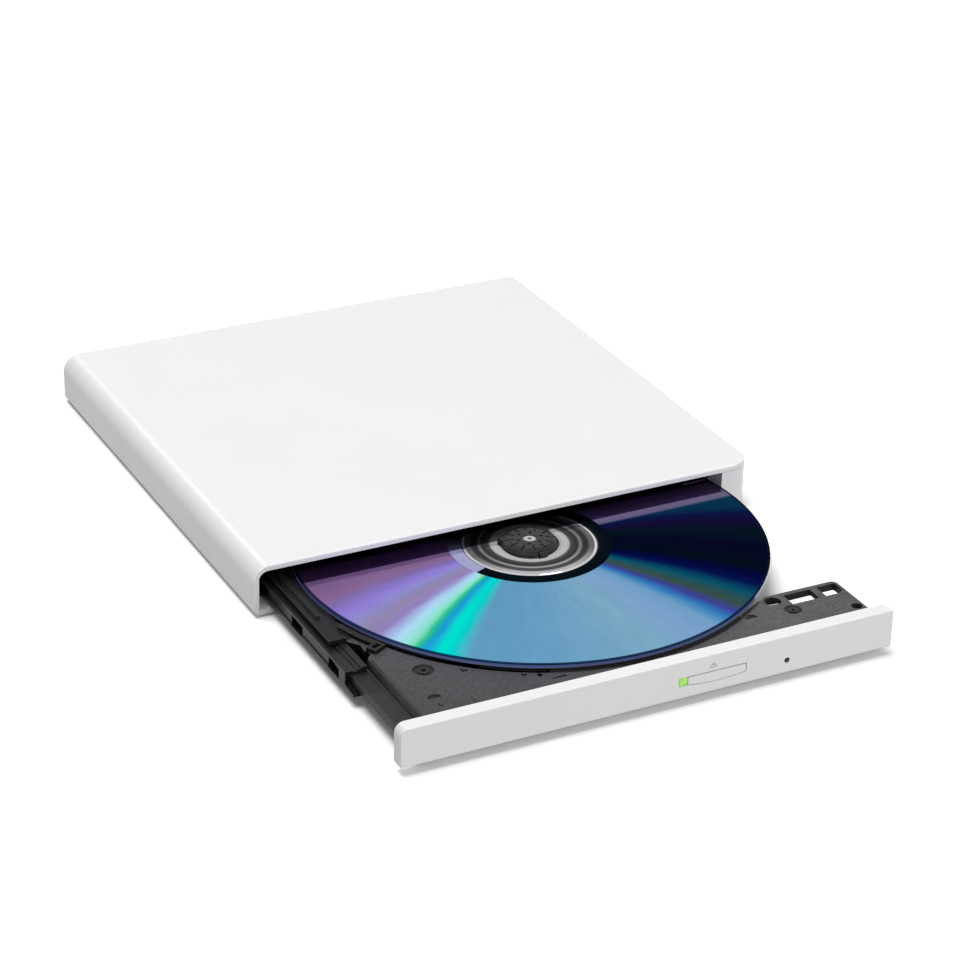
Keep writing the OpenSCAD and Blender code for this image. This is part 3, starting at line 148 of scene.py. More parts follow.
# The bare rings inside the fan, by distance from the middle in millimetres; their greys are painted
# highlights and shade of the clear rings
RINGS = (
    (7.2, "a4a4a6"), (9.0, "c4c4c6"), (9.9, "b4b4b6"), (10.3, "505052"), (12.1, "363638"),
    (12.4, "747476"), (12.9, "b4b4b6"), (13.3, "68686a"), (13.7, "4a4a4c"), (14.6, "565658"),
    (15.0, "a8a8aa"), (15.6, "c4c4c6"), (16.1, "b0b0b2"), (16.5, "f2f2f4"), (16.8, "dcdcde"),
    (17.05, "4c4c52"), (17.4, "10161c"), (20.4, "08121a"),
)
RINGS_SPAN = 21.0
# Painted shade on the clear rings, apart from those towards the front
RING_SHADE_FROM = (11.8 * MM, 13.4 * MM)
RING_SHADE_TO = (16.2 * MM, 16.5 * MM)
RING_SHADE_TURN = 0.46
MIRROR_START = 17.3 * MM
FAN_INNER = 20.65 * MM
RIM_START = DISC_RADIUS - 0.6 * MM
WALL_START = DISC_RADIUS - 1.0 * MM
# The dark border at the rim, by turn, and the band on the wall, by height, which is painted light and
# shade of the clear edge
BORDER = ((0.22, "1c2040"), (0.36, "06224a"), (0.58, "04203f"), (0.64, "16182a"))
WALL_BAND = ((0.0, "5c5c6a"), (0.25, "7c86ba"), (0.66, "5c76c0"), (0.86, "0c2048"))

# The rotor's cap, by distance from the spindle as a share of the cap's radius; its dark middle is painted
# shade in a dimple
CAP_RADIUS = 2.0 * MM
CAP = (
    (0.0, "48484a"), (0.3, "48484a"), (0.36, "d8d8da"), (0.6, "d0d0d2"), (0.66, "707072"),
    (0.85, "c8c8ca"),
)

# The floor: half its size, what it sends to other surfaces and to the eye, and its glow near and far
FLOOR_HALF = 4.0
FLOOR_LIT = (0.38, 0.38, 0.38)
FLOOR_SEEN = (1.25, 1.25, 1.25)
GLOW_FROM = 0.4
GLOW_TO = 1.0
GLOW_NEAR = 0.04
GLOW_FAR = 1.0
SKY_LIT = 0.2
# Lamp panels: name, place, target, size in metres, watts
LAMPS = (
    ("overhead", (-0.3, 0.05, 1.6), (0.0, -0.02, 0.0), 0.9, 17.2),
    ("front_fill", (0.35, -1.7, 0.7), (0.0, -0.1, 0.0), 1.2, 15.5),
    ("back_glint", (-0.2, 1.35, 1.0), (0.0, 0.0, 0.0), 0.4, 2.0),
)

# The eject spring: its back end, its length, the reach of its turns and its wire
SPRING_BACK = Vector((37.0, 11.1, 6.8)) * MM
SPRING_LENGTH = 19.8 * MM
SPRING_REACH = 1.02 * MM
WIRE_RADIUS = 0.18 * MM
SPRING_TURNS = 10
TURN_STEPS = 20
WIRE_SIDES = 8

# The ribbon: a strip that folds back under the tray, and a leg that climbs to the board
FILM = 0.12 * MM
STRIP_WIDTH = 12.0 * MM
STRIP_BACK = ribbon_high.y
STRIP_STOPS = (60.0 * MM, 20.0 * MM)
STRIP_RETURN = 5.0 * MM
STRIP_END = tray_high.y - 6.0 * MM
FOLD = -1.25 * MM
FOLD_STEPS = 12
LEG_WIDTH = 4.5 * MM
LEG_START = ribbon_low.x + STRIP_WIDTH - 0.5 * MM
LEG_RISE = BOARD_LEFT - 0.26 * MM
LEG_BEND = 0.3 * MM
LEG_CUT = 0.1 * MM


def add_camera():
    """The photograph's view: a long lens from the front left, looking down."""
    data = bpy.data.cameras.new("camera")
    data.sensor_fit = "HORIZONTAL"
    data.sensor_width = EYE_SENSOR
    data.lens = EYE_LENS
    data.clip_start = 0.01
    data.clip_end = 50.0
    eye = bpy.data.objects.new("camera", data)
    eye.location = EYE_PLACE
    eye.rotation_euler = [math.radians(a) for a in EYE_TURNS]
    scene.collection.objects.link(eye)
    scene.camera = eye


class Tree:
    """A material's node tree, with short calls for the nodes used here."""

    def __init__(self, name):
        self.material = bpy.data.materials.new(name)
        self.material.use_nodes = True
        self.tree = self.material.node_tree
        self.shader = self.tree.nodes["Principled BSDF"]
        self.out = self.tree.nodes["Material Output"]
        self.place = self.node("ShaderNodeTexCoord").outputs["Object"]

    def node(self, kind, **settings):
        made = self.tree.nodes.new(kind)
        for key, value in settings.items():
            setattr(made, key, value)
        return made

    def feed(self, socket, value):
        if isinstance(value, bpy.types.NodeSocket):
            self.tree.links.new(value, socket)
        else:
            socket.default_value = value

    def set(self, **sockets):
        """Values for the shader's sockets, whose names are written with underscores."""
        for key, value in sockets.items():
            self.feed(self.shader.inputs[key.replace("_", " ")], value)

    def math(self, operation, a, b=0.0):
        made = self.node("ShaderNodeMath", operation=operation)
        self.feed(made.inputs[0], a)
        self.feed(made.inputs[1], b)
        return made.outputs[0]

    def times(self, a, b):
        return self.math("MULTIPLY", a, b)

    def weigh(self, a, share, b):
        """Two values added, the first by its share and the second by the rest."""
        return self.math("ADD", self.times(a, share), self.times(b, 1.0 - share))

    def within(self, value, middle, half):
        """One where a value lies less than half from a middle, else zero."""
        away = self.math("ABSOLUTE", self.math("SUBTRACT", value, middle))
        return self.math("LESS_THAN", away, half)

    def reach(self, x, y):
        """The length of two sides taken together."""
        return self.math("SQRT", self.math("ADD", self.times(x, x), self.times(y, y)))

    def vector(self, x, y=0.0):
        made = self.node("ShaderNodeCombineXYZ")
        self.feed(made.inputs["X"], x)
        self.feed(made.inputs["Y"], y)
        return made.outputs[0]

    def axes(self, vector=None):
        """The three parts of a vector, of the place on the object if none is given."""
        made = self.node("ShaderNodeSeparateXYZ")
        self.feed(made.inputs[0], self.place if vector is None else vector)
        return made.outputs["X"], made.outputs["Y"], made.outputs["Z"]

    def facing(self):
        """The three parts of the face's own direction."""
        return self.axes(self.node("ShaderNodeNewGeometry").outputs["True Normal"])

    def polar(self, middle):
        """Turn from the back over the left, 0 to 1, and distance, round an upright axis."""
        x, y, _ = self.axes()
        x = self.math("SUBTRACT", x, middle.x)
        y = self.math("SUBTRACT", y, middle.y)
        turn = self.math("ARCTAN2", x, self.times(y, -1.0))
        turn = self.math("ADD", self.math("DIVIDE", turn, math.tau), 0.5)
        return turn, self.reach(x, y)

    def mapped(self, **settings):
        """The place on the object, moved or scaled."""
        made = self.node("ShaderNodeMapping")
        self.feed(made.inputs["Vector"], self.place)
        for key, value in settings.items():
            made.inputs[key].default_value = value
        return made.outputs["Vector"]

    def noise(self, size, detail=3.0, rough=0.55, vector=None):
        """Noise whose grains are about size metres wide."""
        made = self.node("ShaderNodeTexNoise")
        self.feed(made.inputs["Vector"], self.place if vector is None else vector)
        made.inputs["Scale"].default_value = 1.0 / size
        made.inputs["Detail"].default_value = detail
        made.inputs["Roughness"].default_value = rough
        return made.outputs["Fac"]

    def wave(self, direction, scale, distortion, detail=2.0):
        """Bands that follow each other along one axis."""
        made = self.node("ShaderNodeTexWave", wave_type="BANDS", bands_direction=direction)
        self.feed(made.inputs["Vector"], self.place)
        made.inputs["Scale"].default_value = scale
        made.inputs["Distortion"].default_value = distortion
        made.inputs["Detail"].default_value = detail
        return made.outputs["Fac"]

    def spread(self, value, low, high, to_low=0.0, to_high=1.0):
        """A value from one span to another, held at the ends."""
        made = self.node("ShaderNodeMapRange")
        made.inputs["From Min"].default_value = low
        made.inputs["From Max"].default_value = high
        made.inputs["To Min"].default_value = to_low
        made.inputs["To Max"].default_value = to_high
        self.feed(made.inputs["Value"], value)
        return made.outputs["Result"]

    def even(self, noise, to_low=0.0, to_high=1.0):
        """Noise from its usual span to another."""
        return self.spread(noise, 0.3, 0.7, to_low, to_high)

    def mix(self, share, a, b):
        made = self.node("ShaderNodeMix", data_type="RGBA")
        self.feed(made.inputs["Factor"], share)
        self.feed(made.inputs["A"], colour(a))
        self.feed(made.inputs["B"], colour(b))
        return made.outputs["Result"]

    def ramp(self, share, stops):
        made = self.node("ShaderNodeValToRGB")
        band = made.color_ramp
        while len(band.elements) < len(stops):
            band.elements.new(0.5)
        for element, (at, shade) in zip(band.elements, stops):
            element.position = at
            element.color = colour(shade)
        self.feed(made.inputs["Fac"], share)
        return made.outputs["Color"]

    def soft(self, radius):
        """The normal with its edges rounded."""
        made = self.node("ShaderNodeBevel", samples=BEVEL_SAMPLES)
        made.inputs["Radius"].default_value = radius
        return made.outputs["Normal"]

    def relief(self, height, strength, depth, edge=0.0):
        """A normal from a height, over softened edges."""
        made = self.node("ShaderNodeBump")
        made.inputs["Strength"].default_value = strength
        made.inputs["Distance"].default_value = depth
        self.feed(made.inputs["Height"], height)
        if edge:
            self.feed(made.inputs["Normal"], self.soft(edge))
        return made.outputs["Normal"]

    def edge_highlight(self, paint, share):
        """Painted highlight near an edge, where the softened normal leans from the face's own."""
        lean = self.node("ShaderNodeVectorMath", operation="DOT_PRODUCT")
        self.feed(lean.inputs[0], self.soft(HIGHLIGHT_REACH))
        self.feed(lean.inputs[1], self.node("ShaderNodeNewGeometry").outputs["True Normal"])
        near = self.spread(lean.outputs["Value"], 0.85, 0.99, 1.0, 0.0)
        return self.mix(self.times(near, share), paint, EDGE_HIGHLIGHT_COLOUR)


def colour(value):
    """A hex word or three linear numbers as a colour with full cover."""
    if isinstance(value, bpy.types.NodeSocket):
        return value
    if isinstance(value, str):
        parts = [int(value[i:i + 2], 16) / 255 for i in (0, 2, 4)]
        value = [p / 12.92 if p <= 0.04045 else ((p + 0.055) / 1.055) ** 2.4 for p in parts]
    return tuple(value) + (1.0,)


def shell_white(name, base, edge, marks_and_shade=None):
    """White moulded case plastic: faint flow clouds, a satin gloss and a fine skin texture."""
    t = Tree(name)
    paint = t.mix(t.even(t.noise(0.022, detail=2.0)), [v * 0.985 for v in base], base)
    # Signs and painted shade laid over the white, when given
    if marks_and_shade:
        paint = marks_and_shade(t, paint)
    t.set(Base_Color=paint, IOR=1.47,
          Roughness=t.even(t.noise(0.02, detail=1.0), 0.28, 0.34),
          Normal=t.relief(t.noise(0.005, detail=1.0), strength=0.03, depth=0.00005, edge=edge))
    return t.material


def eject_sign_and_hole_shade(t, paint):
    """A plain eject sign in faint grey, with painted shade in the bore of the pin hole and in the slot of
    the button.
    """
    x, y, z = t.axes()
    across = t.math("ABSOLUTE", t.math("SUBTRACT", x, SIGN[0] * MM))
    height = t.math("SUBTRACT", z, SIGN[1] * MM)
    slope = t.math("ADD", across, t.times(height, SIGN_SLOPE))
    roof = t.times(t.math("LESS_THAN", slope, SIGN_HALF * MM), t.math("GREATER_THAN", height, 0.0))
    bar = t.times(t.within(height, -BAR_DROP * MM, BAR_HALF * MM),
                  t.math("LESS_THAN", across, SIGN_HALF * MM))
    front = t.math("LESS_THAN", y, BEZEL_FRONT + SIGN_DEPTH * MM)
    sign = t.times(t.math("MAXIMUM", roof, bar), front)
    paint = t.mix(t.times(sign, 0.55), paint, "8a8a8e")

    deep = t.math("GREATER_THAN", y, BEZEL_FRONT + HOLE_DEPTH * MM)
    side = t.math("SUBTRACT", x, PIN_HOLE[0] * MM)
    rise = t.math("SUBTRACT", z, PIN_HOLE[1] * MM)
    # Painted shade in the pin hole's bore
    bore = t.times(t.math("LESS_THAN", t.reach(side, rise), PIN_HOLE_RADIUS * MM), deep)
    paint = t.mix(bore, paint, (0.3, 0.3, 0.31))

    # Painted shade in the button's slot
    slot = t.times(t.math("LESS_THAN", across, SLOT_HALF[0] * MM),
                   t.within(z, SLOT_HEIGHT * MM, SLOT_HALF[1] * MM))
    return t.mix(t.times(slot, deep), paint, (0.1, 0.1, 0.1))


def dark_sides(t, paint):
    """Shade on the button's flanks, which face the narrow gap."""
    return t.mix(t.math("GREATER_THAN", t.facing()[1], -0.5), paint, (0.16, 0.16, 0.16))


def moulded(name, dark, light, grain, rough, depth, edge=0.00012, shine=0.5, edge_highlight=0.0):
    """Moulded plastic with an eroded grain: flecks, uneven gloss, pitted relief and, where given, a
    painted highlight along edges.
    """
    t = Tree(name)
    fleck = t.noise(grain, detail=3.0, rough=0.7)
    share = t.weigh(fleck, 0.8, t.noise(grain * 30, detail=2.0))
    paint = t.mix(t.spread(share, 0.35, 0.65), dark, light)
    # Painted highlight along the edges, when given
    if edge_highlight:
        paint = t.edge_highlight(paint, edge_highlight)
    pits = t.noise(grain * 0.8, detail=2.0, rough=0.6)
    t.set(Base_Color=paint, Specular_IOR_Level=shine,
          Roughness=t.even(fleck, rough - 0.07, rough + 0.07),
          Normal=t.relief(pits, strength=0.4, depth=depth, edge=edge))
    return t.material


def deck_cuts(t, x, y):
    """One where a shallow cut or the small hole of the deck is, else zero."""
    side = t.math("SUBTRACT", x, DECK_HOLE[0] * MM)
    along = t.math("SUBTRACT", y, DECK_HOLE[1] * MM)
    cut = t.math("LESS_THAN", t.reach(side, along), DECK_HOLE_RADIUS * MM)
    for middle_x, middle_y, size_x, size_y in DECK_CUTS:
        slit = t.times(t.within(x, middle_x * MM, size_x * MM / 2),
                       t.within(y, middle_y * MM, size_y * MM / 2))
        cut = t.math("MAXIMUM", cut, slit)
    return cut


def tray_plastic(name):
    """The tray: an eroded grey grain on deck and well, smooth black on its walls, flange and ribs;
    painted light makes the grain paler to the right and beside the disc, the well floor paler and the
    front walls grey, with painted shade in the cuts and on the back walls and a painted highlight on
    edges.
    """
    t = Tree(name)
    x, y, z = t.axes()
    below = t.within(z, WELL, DECK_SKIN * MM)
    level = t.math("MAXIMUM", t.within(z, DECK, DECK_SKIN * MM), below)
    flat = t.times(level, t.math("GREATER_THAN", t.facing()[2], 0.9))
    cut = deck_cuts(t, x, y)

    fleck = t.noise(0.0006, detail=3.0, rough=0.7)
    share = t.weigh(fleck, 0.8, t.noise(0.018, detail=2.0))
    # Painted light: the grain is paler towards the right
    right = t.spread(x, *GRAIN_PAINTED_LIGHT)
    dark = t.mix(right, (0.020, 0.020, 0.022), (0.034, 0.034, 0.034))
    light = t.mix(right, (0.072, 0.070, 0.079), (0.118, 0.118, 0.118))
    grain_and_painted_light = t.mix(t.spread(share, 0.35, 0.65), dark, light)
    # Painted light: the deck a little paler beside the disc
    near = t.spread(t.polar(SPINDLE)[1], *DECK_PAINTED_LIGHT, 0.25, 0.0)
    grain_and_painted_light = t.mix(near, grain_and_painted_light, (0.12, 0.118, 0.126))
    # Painted light: the well floor made paler than the deck's grain
    grain_and_painted_light = t.mix(t.times(below, 0.6), grain_and_painted_light, (0.14, 0.14, 0.145))
    # Painted shade in the deck's shallow cuts and small hole
    grain_and_painted_light = t.mix(cut, grain_and_painted_light, (0.004, 0.004, 0.005))

    cloud = t.even(t.noise(0.004))
    # Painted highlight on the front walls, grey, and painted shade on the back walls, black
    front = t.mix(cloud, (0.026, 0.026, 0.027), (0.042, 0.042, 0.043))
    back = t.mix(cloud, (0.006, 0.006, 0.007), (0.012, 0.012, 0.013))
    smooth = t.mix(t.spread(y, *WALL_PAINTED_LIGHT), front, back)

    height = t.times(t.noise(0.0005, detail=2.0, rough=0.6), t.spread(flat, 0.0, 1.0, 0.1, 1.0))
    sheen = t.times(t.spread(flat, 0.0, 1.0, 0.09, 0.22), t.math("SUBTRACT", 1.0, cut))
    # Painted highlight along the tray's edges
    t.set(Base_Color=t.edge_highlight(t.mix(flat, smooth, grain_and_painted_light), 0.6), Specular_IOR_Level=sheen,
          Roughness=t.math("ADD", t.even(fleck, 0.3, 0.4), t.times(flat, 0.16)),
          Normal=t.relief(height, strength=0.4, depth=0.0001, edge=0.00015))
    return t.material


def metal(name, base, rough, streak=(1.0, 1.0, 1.0), grain=0.0004, depth=0.00001):
    """Rolled, drawn or turned metal: streaks along its making and cloudy gloss."""
    t = Tree(name)
    line = t.noise(grain, detail=4.0, rough=0.6, vector=t.mapped(Scale=streak))
    cloud = t.noise(0.008, detail=3.0)
    paint = t.mix(t.even(line), [v * 0.88 for v in base], base)
    paint = t.mix(t.spread(cloud, 0.35, 0.75, 0.0, 0.35), paint, [v * 0.8 for v in base])
    t.set(Base_Color=paint, Metallic=1.0,
          Roughness=t.even(t.weigh(line, 0.6, cloud), rough * 0.8, rough * 1.25),
          Normal=t.relief(line, strength=0.25, depth=depth, edge=0.0001))
    return t.material


def circuit_board(name):
    """Green solder mask with raised tracks and bare gold pads."""
    t = Tree(name)
    tracks = [t.math("GREATER_THAN", t.wave(axis, 330.0, 0.6, 0.0), 0.72) for axis in ("X", "Y")]
    where = t.math("GREATER_THAN", t.noise(0.005, detail=0.0), 0.5)
    lines = t.math("ADD", t.times(tracks[0], where), t.times(tracks[1], t.math("SUBTRACT", 1.0, where)))
    dots = t.node("ShaderNodeTexVoronoi")
    t.feed(dots.inputs["Vector"], t.place)
    dots.inputs["Scale"].default_value = 420.0
    pad = t.math("LESS_THAN", dots.outputs["Distance"], 0.17)
    mask = t.mix(t.noise(0.0006, detail=2.0), (0.012, 0.075, 0.032), (0.018, 0.1, 0.045))
    paint = t.mix(lines, mask, (0.03, 0.17, 0.07))
    paint = t.mix(pad, paint, (0.75, 0.55, 0.22))
    t.set(Base_Color=paint, Metallic=pad,
          Roughness=t.even(t.noise(0.002), 0.28, 0.42),
          Normal=t.relief(t.math("ADD", lines, pad), strength=0.4, depth=0.00003))
    return t.material


def ribbon_film(name, across):
    """Amber film over copper tracks that run along the ribbon."""
    t = Tree(name)
    track = t.math("GREATER_THAN", t.wave(across, 320.0, 0.0), 0.45)
    paint = t.mix(track, (0.30, 0.11, 0.02), (0.50, 0.22, 0.05))
    paint = t.mix(t.even(t.noise(0.004), 0.0, 0.3), paint, (0.24, 0.09, 0.02))
    t.set(Base_Color=paint,
          Roughness=t.even(t.noise(0.003), 0.22, 0.36),
          Normal=t.relief(track, strength=0.3, depth=0.00002))
    return t.material


def winding(name):
    """Enamelled copper wire, layer on layer."""
    t = Tree(name)
    layer = t.wave("Z", 700.0, 1.2)
    paint = t.mix(layer, (0.30, 0.10, 0.03), (0.72, 0.33, 0.13))
    paint = t.mix(t.even(t.noise(0.002), 0.0, 0.4), paint, (0.42, 0.17, 0.06))
    t.set(Base_Color=paint, Metallic=1.0,
          Roughness=t.even(t.noise(0.001), 0.28, 0.42),
          Normal=t.relief(layer, strength=0.5, depth=0.00005))
    return t.material


def light_guide(name):
    """Clear green guide, unevenly lit from behind."""
    t = Tree(name)
    glow = t.noise(0.0009, detail=2.0)
    paint = t.mix(t.even(glow), (0.24, 0.58, 0.07), (0.40, 0.78, 0.13))
    t.set(Base_Color=paint, Emission_Color=paint, Emission_Strength=0.35,
          Roughness=t.even(glow, 0.2, 0.3),
          Normal=t.relief(t.noise(0.0004), strength=0.1, depth=0.00002, edge=0.0001))
    return t.material


def lens_glass(name):
    """Coated lens: clear, with a blue bloom and faint wipe marks."""
    t = Tree(name)
    haze = t.noise(0.0008, detail=3.0)
    t.set(Base_Color=t.mix(haze, (0.55, 0.70, 0.95), (0.72, 0.80, 0.98)),
          IOR=1.5, Transmission_Weight=1.0,
          Roughness=t.even(haze, 0.01, 0.06),
          Normal=t.relief(haze, strength=0.05, depth=0.00001))
    return t.material


def disc_face(name):
    """Recording side of a disc: a fan of painted diffraction colours and highlights round the middle with
    a painted reflection, bare rings in painted highlights and shade, a blue rim with painted light and
    shade on its wall.
    """
    t = Tree(name)
    turn, radius = t.polar(SPINDLE)
    x, y, z = t.axes()

    ray = t.noise(0.012, detail=1.0, rough=0.5, vector=t.vector(turn, radius))
    sway = t.times(t.math("SUBTRACT", ray, 0.5), 0.006)
    lean = t.times(t.spread(radius, *LEAN_SPAN, -LEAN, LEAN), t.math("SUBTRACT", LEAN_TURN, turn))
    bent = t.math("ADD", turn, t.math("SUBTRACT", sway, lean))
    fan = t.ramp(bent, [((angle - FAN_START) / 360, shade) for angle, shade in FAN])
    right = t.math("GREATER_THAN", x, SPINDLE.x)
    behind = t.math("SUBTRACT", y, SPINDLE.y)
    # Painted reflection, lilac, over the right half of the back
    painted_reflection = t.mix(t.spread(behind, *REFLECTION_FADE), *REFLECTION_COLOURS)
    fan = t.mix(t.times(right, t.spread(behind, *REFLECTION_EDGE)), fan, painted_reflection)
    bright = t.node("ShaderNodeVectorMath", operation="SCALE")
    t.feed(bright.inputs[0], fan)
    t.feed(bright.inputs["Scale"], t.even(ray, 0.97, 1.03))

    rings = t.ramp(t.math("DIVIDE", radius, RINGS_SPAN * MM),
                   [(far / RINGS_SPAN, shade) for far, shade in RINGS])
    # Painted shade on the clear rings, apart from those towards the front
    aside = t.spread(t.math("ABSOLUTE", t.math("SUBTRACT", turn, RING_SHADE_TURN)), 0.08, 0.2, 0.0, 0.75)
    inner = t.times(t.spread(radius, *RING_SHADE_FROM), t.spread(radius, *RING_SHADE_TO, 1.0, 0.0))
    rings = t.mix(t.times(aside, inner), rings, "303032")
    # Painted reflection, lilac, on the mirror band towards the left
    mirror_reflection = t.times(t.math("LESS_THAN", bent, 0.325), t.math("GREATER_THAN", radius, MIRROR_START))
    rings = t.mix(t.times(mirror_reflection, t.spread(bent, 0.17, 0.24, 0.0, 0.9)), rings, "b0b2da")
    paint = t.mix(t.math("GREATER_THAN", radius, FAN_INNER), rings, bright.outputs["Vector"])

    rim = t.math("GREATER_THAN", radius, RIM_START)
    paint = t.mix(t.times(rim, 0.92), paint, t.ramp(turn, BORDER))
    # The wall gets painted light and shade of the clear edge, by height
    upright = t.math("LESS_THAN", t.math("ABSOLUTE", t.facing()[2]), 0.5)
    wall = t.times(upright, t.math("GREATER_THAN", radius, WALL_START))
    paint = t.mix(wall, paint, t.ramp(t.spread(z, disc_low.z, disc_high.z), WALL_BAND))

    grooves = t.node("ShaderNodeTexWave", wave_type="RINGS", rings_direction="Z")
    t.feed(grooves.inputs["Vector"], t.mapped(Location=(-SPINDLE.x, -SPINDLE.y, 0.0)))
    grooves.inputs["Scale"].default_value = 900.0
    t.set(Base_Color=paint, Metallic=t.math("SUBTRACT", 1.0, wall), Specular_Tint=colour((0.5, 0.5, 0.5)),
          Roughness=t.math("ADD", t.even(t.noise(0.012), 0.03, 0.06), t.times(rim, 0.1)),
          Normal=t.relief(grooves.outputs["Fac"], strength=0.02, depth=0.000004))
    return t.material


def hub_black(name):
    """Black hub plastic with a fine grain."""
    t = Tree(name)
    grain = t.noise(0.0004, detail=3.0)
    t.set(Base_Color=t.mix(t.even(grain), (0.008, 0.008, 0.009), (0.03, 0.03, 0.032)),
          Specular_IOR_Level=0.15,
          Roughness=t.even(t.noise(0.002), 0.2, 0.34),
          Normal=t.relief(grain, strength=0.15, depth=0.00003, edge=0.0001))
    return t.material


def turned_rotor(name):
    """Bright turned steel: fine rings round the spindle, painted shade in the cap's dimple."""
    t = Tree(name)
    radius = t.polar(SPINDLE)[1]
    rings = t.noise(1 / 6000, detail=2.0, rough=0.5, vector=t.vector(radius))
    cap = t.ramp(t.math("DIVIDE", radius, CAP_RADIUS), CAP)
    t.set(Base_Color=t.mix(t.even(rings, 0.0, 0.35), cap, (0.4, 0.4, 0.41)), Metallic=1.0,
          Roughness=t.even(rings, 0.16, 0.3),
          Normal=t.relief(rings, strength=0.2, depth=0.00001, edge=0.0001))
    return t.material


def paint_nodes():
    """Every CAD node gets its finish."""
    white = (0.9, 0.9, 0.905)
    finishes = [
        (shell_white("case_white", white, edge=0.0), "top_cover bottom_cover"),
        (shell_white("bezel_white", white, edge=0.00015, marks_and_shade=eject_sign_and_hole_shade), "front_bezel"),
        (shell_white("button_white", white, edge=0.0, marks_and_shade=dark_sides), "eject_button"),
        (tray_plastic("tray_grain"), "tray"),
        # The rails get a painted highlight along their edges
        (moulded("rail_black", (0.004, 0.004, 0.005), (0.012, 0.012, 0.013),
                 grain=0.0005, rough=0.34, depth=0.00004, shine=0.14, edge_highlight=0.6),
         "left_rail right_rail left_guide right_guide rod_holders eject_switch lens_holder"),
        (hub_black("hub_black"), "hub_cap hub_claw_1 hub_claw_2 hub_claw_3"),
        (moulded("rubber", (0.012, 0.012, 0.013), (0.028, 0.028, 0.03),
                 grain=0.0003, rough=0.78, depth=0.00006, edge=0.0003),
         "rubber_feet unit_dampers turntable_pad"),
        (metal("sheet_steel", (0.62, 0.63, 0.65), rough=0.34, streak=(0.08, 1.0, 1.0)),
         "chassis under_cover unit_frame"),
        (moulded("dark_sheet", (0.03, 0.03, 0.032), (0.05, 0.05, 0.053),
                 grain=0.0006, rough=0.5, depth=0.00003),
         "drive_lid unit_cover"),
        (metal("screw_steel", (0.42, 0.42, 0.44), rough=0.36, grain=0.0003),
         "case_screws lid_screws board_screws under_cover_screws damper_screws sled_motor"),
        (metal("bright_steel", (0.74, 0.74, 0.75), rough=0.2, streak=(1.0, 0.2, 1.0), grain=0.0003),
         "guide_rods lead_screw latch_post latch_pin solenoid_plunger usb_socket"),
        (metal("spring_steel", (0.5, 0.5, 0.52), rough=0.3, streak=(1.0, 0.3, 1.0), grain=0.0002),
         "latch_spring"),
        (circuit_board("board_green"), "main_board front_board"),
        (moulded("chip_black", (0.012, 0.012, 0.013), (0.03, 0.03, 0.031),
                 grain=0.0003, rough=0.6, depth=0.00003),
         "board_chips"),
        (moulded("nylon", (0.62, 0.58, 0.47), (0.72, 0.68, 0.57),
                 grain=0.0006, rough=0.44, depth=0.00003, edge=0.00015),
         "ribbon_connector switch_plunger latch_lever lead_nut"),
        (moulded("lamp_white", (0.72, 0.72, 0.66), (0.82, 0.82, 0.77),
                 grain=0.0004, rough=0.4, depth=0.00002),
         "status_led"),
        (light_guide("green_guide"), "light_pipe"),
        (winding("copper_wire"), "stator solenoid"),
        (metal("die_cast", (0.40, 0.41, 0.43), rough=0.5, grain=0.0007, depth=0.00004), "pickup"),
        (lens_glass("lens_glass"), "lens"),
        (disc_face("disc_face"), "disc"),
        (turned_rotor("turned_rotor"), "rotor"),
        (ribbon_film("ribbon_film", "X"), "flex_ribbon"),
        (metal("spring_wire", (0.55, 0.55, 0.57), rough=0.28, streak=(1.0, 0.3, 1.0), grain=0.0002),
         "eject_spring"),
    ]
    done = set()
    for material, names in finishes:
        for name in names.split():
            target = nodes[name]
            target.data.materials.clear()
            target.data.materials.append(material)
            done.add(name)
    left = sorted(set(nodes) - done)
    if left:
        raise RuntimeError("no finish for " + ", ".join(left))


def add_floor():
    """White floor that keeps the shadow, lights the object little and glows where it is far away."""
    corners = [(x * FLOOR_HALF, y * FLOOR_HALF, 0.0) for x, y in SQUARE]
    mesh = bpy.data.meshes.new("floor")
    mesh.from_pydata(corners, [], [(0, 1, 2, 3)])
    floor = bpy.data.objects.new("floor", mesh)
    scene.collection.objects.link(floor)
    t = Tree("floor_white")
    rays = t.node("ShaderNodeLightPath")
    seen = t.math("MAXIMUM", rays.outputs["Is Camera Ray"], rays.outputs["Is Glossy Ray"])
    seen = t.math("MAXIMUM", seen, rays.outputs["Is Transmission Ray"])
    t.set(Base_Color=t.mix(seen, FLOOR_LIT, FLOOR_SEEN), Roughness=1.0, Specular_IOR_Level=0.0)
    away = t.node("ShaderNodeVectorMath", operation="LENGTH")
    t.feed(away.inputs[0], t.place)
    strength = t.spread(away.outputs["Value"], GLOW_FROM, GLOW_TO, GLOW_NEAR, GLOW_FAR)
    glow = t.node("ShaderNodeEmission")
    t.feed(glow.inputs["Strength"], t.times(seen, strength))
    surface = t.node("ShaderNodeAddShader")
    t.feed(surface.inputs[0], t.shader.outputs["BSDF"])
    t.feed(surface.inputs[1], glow.outputs[0])
    t.feed(t.out.inputs["Surface"], surface.outputs[0])
    mesh.materials.append(t.material)


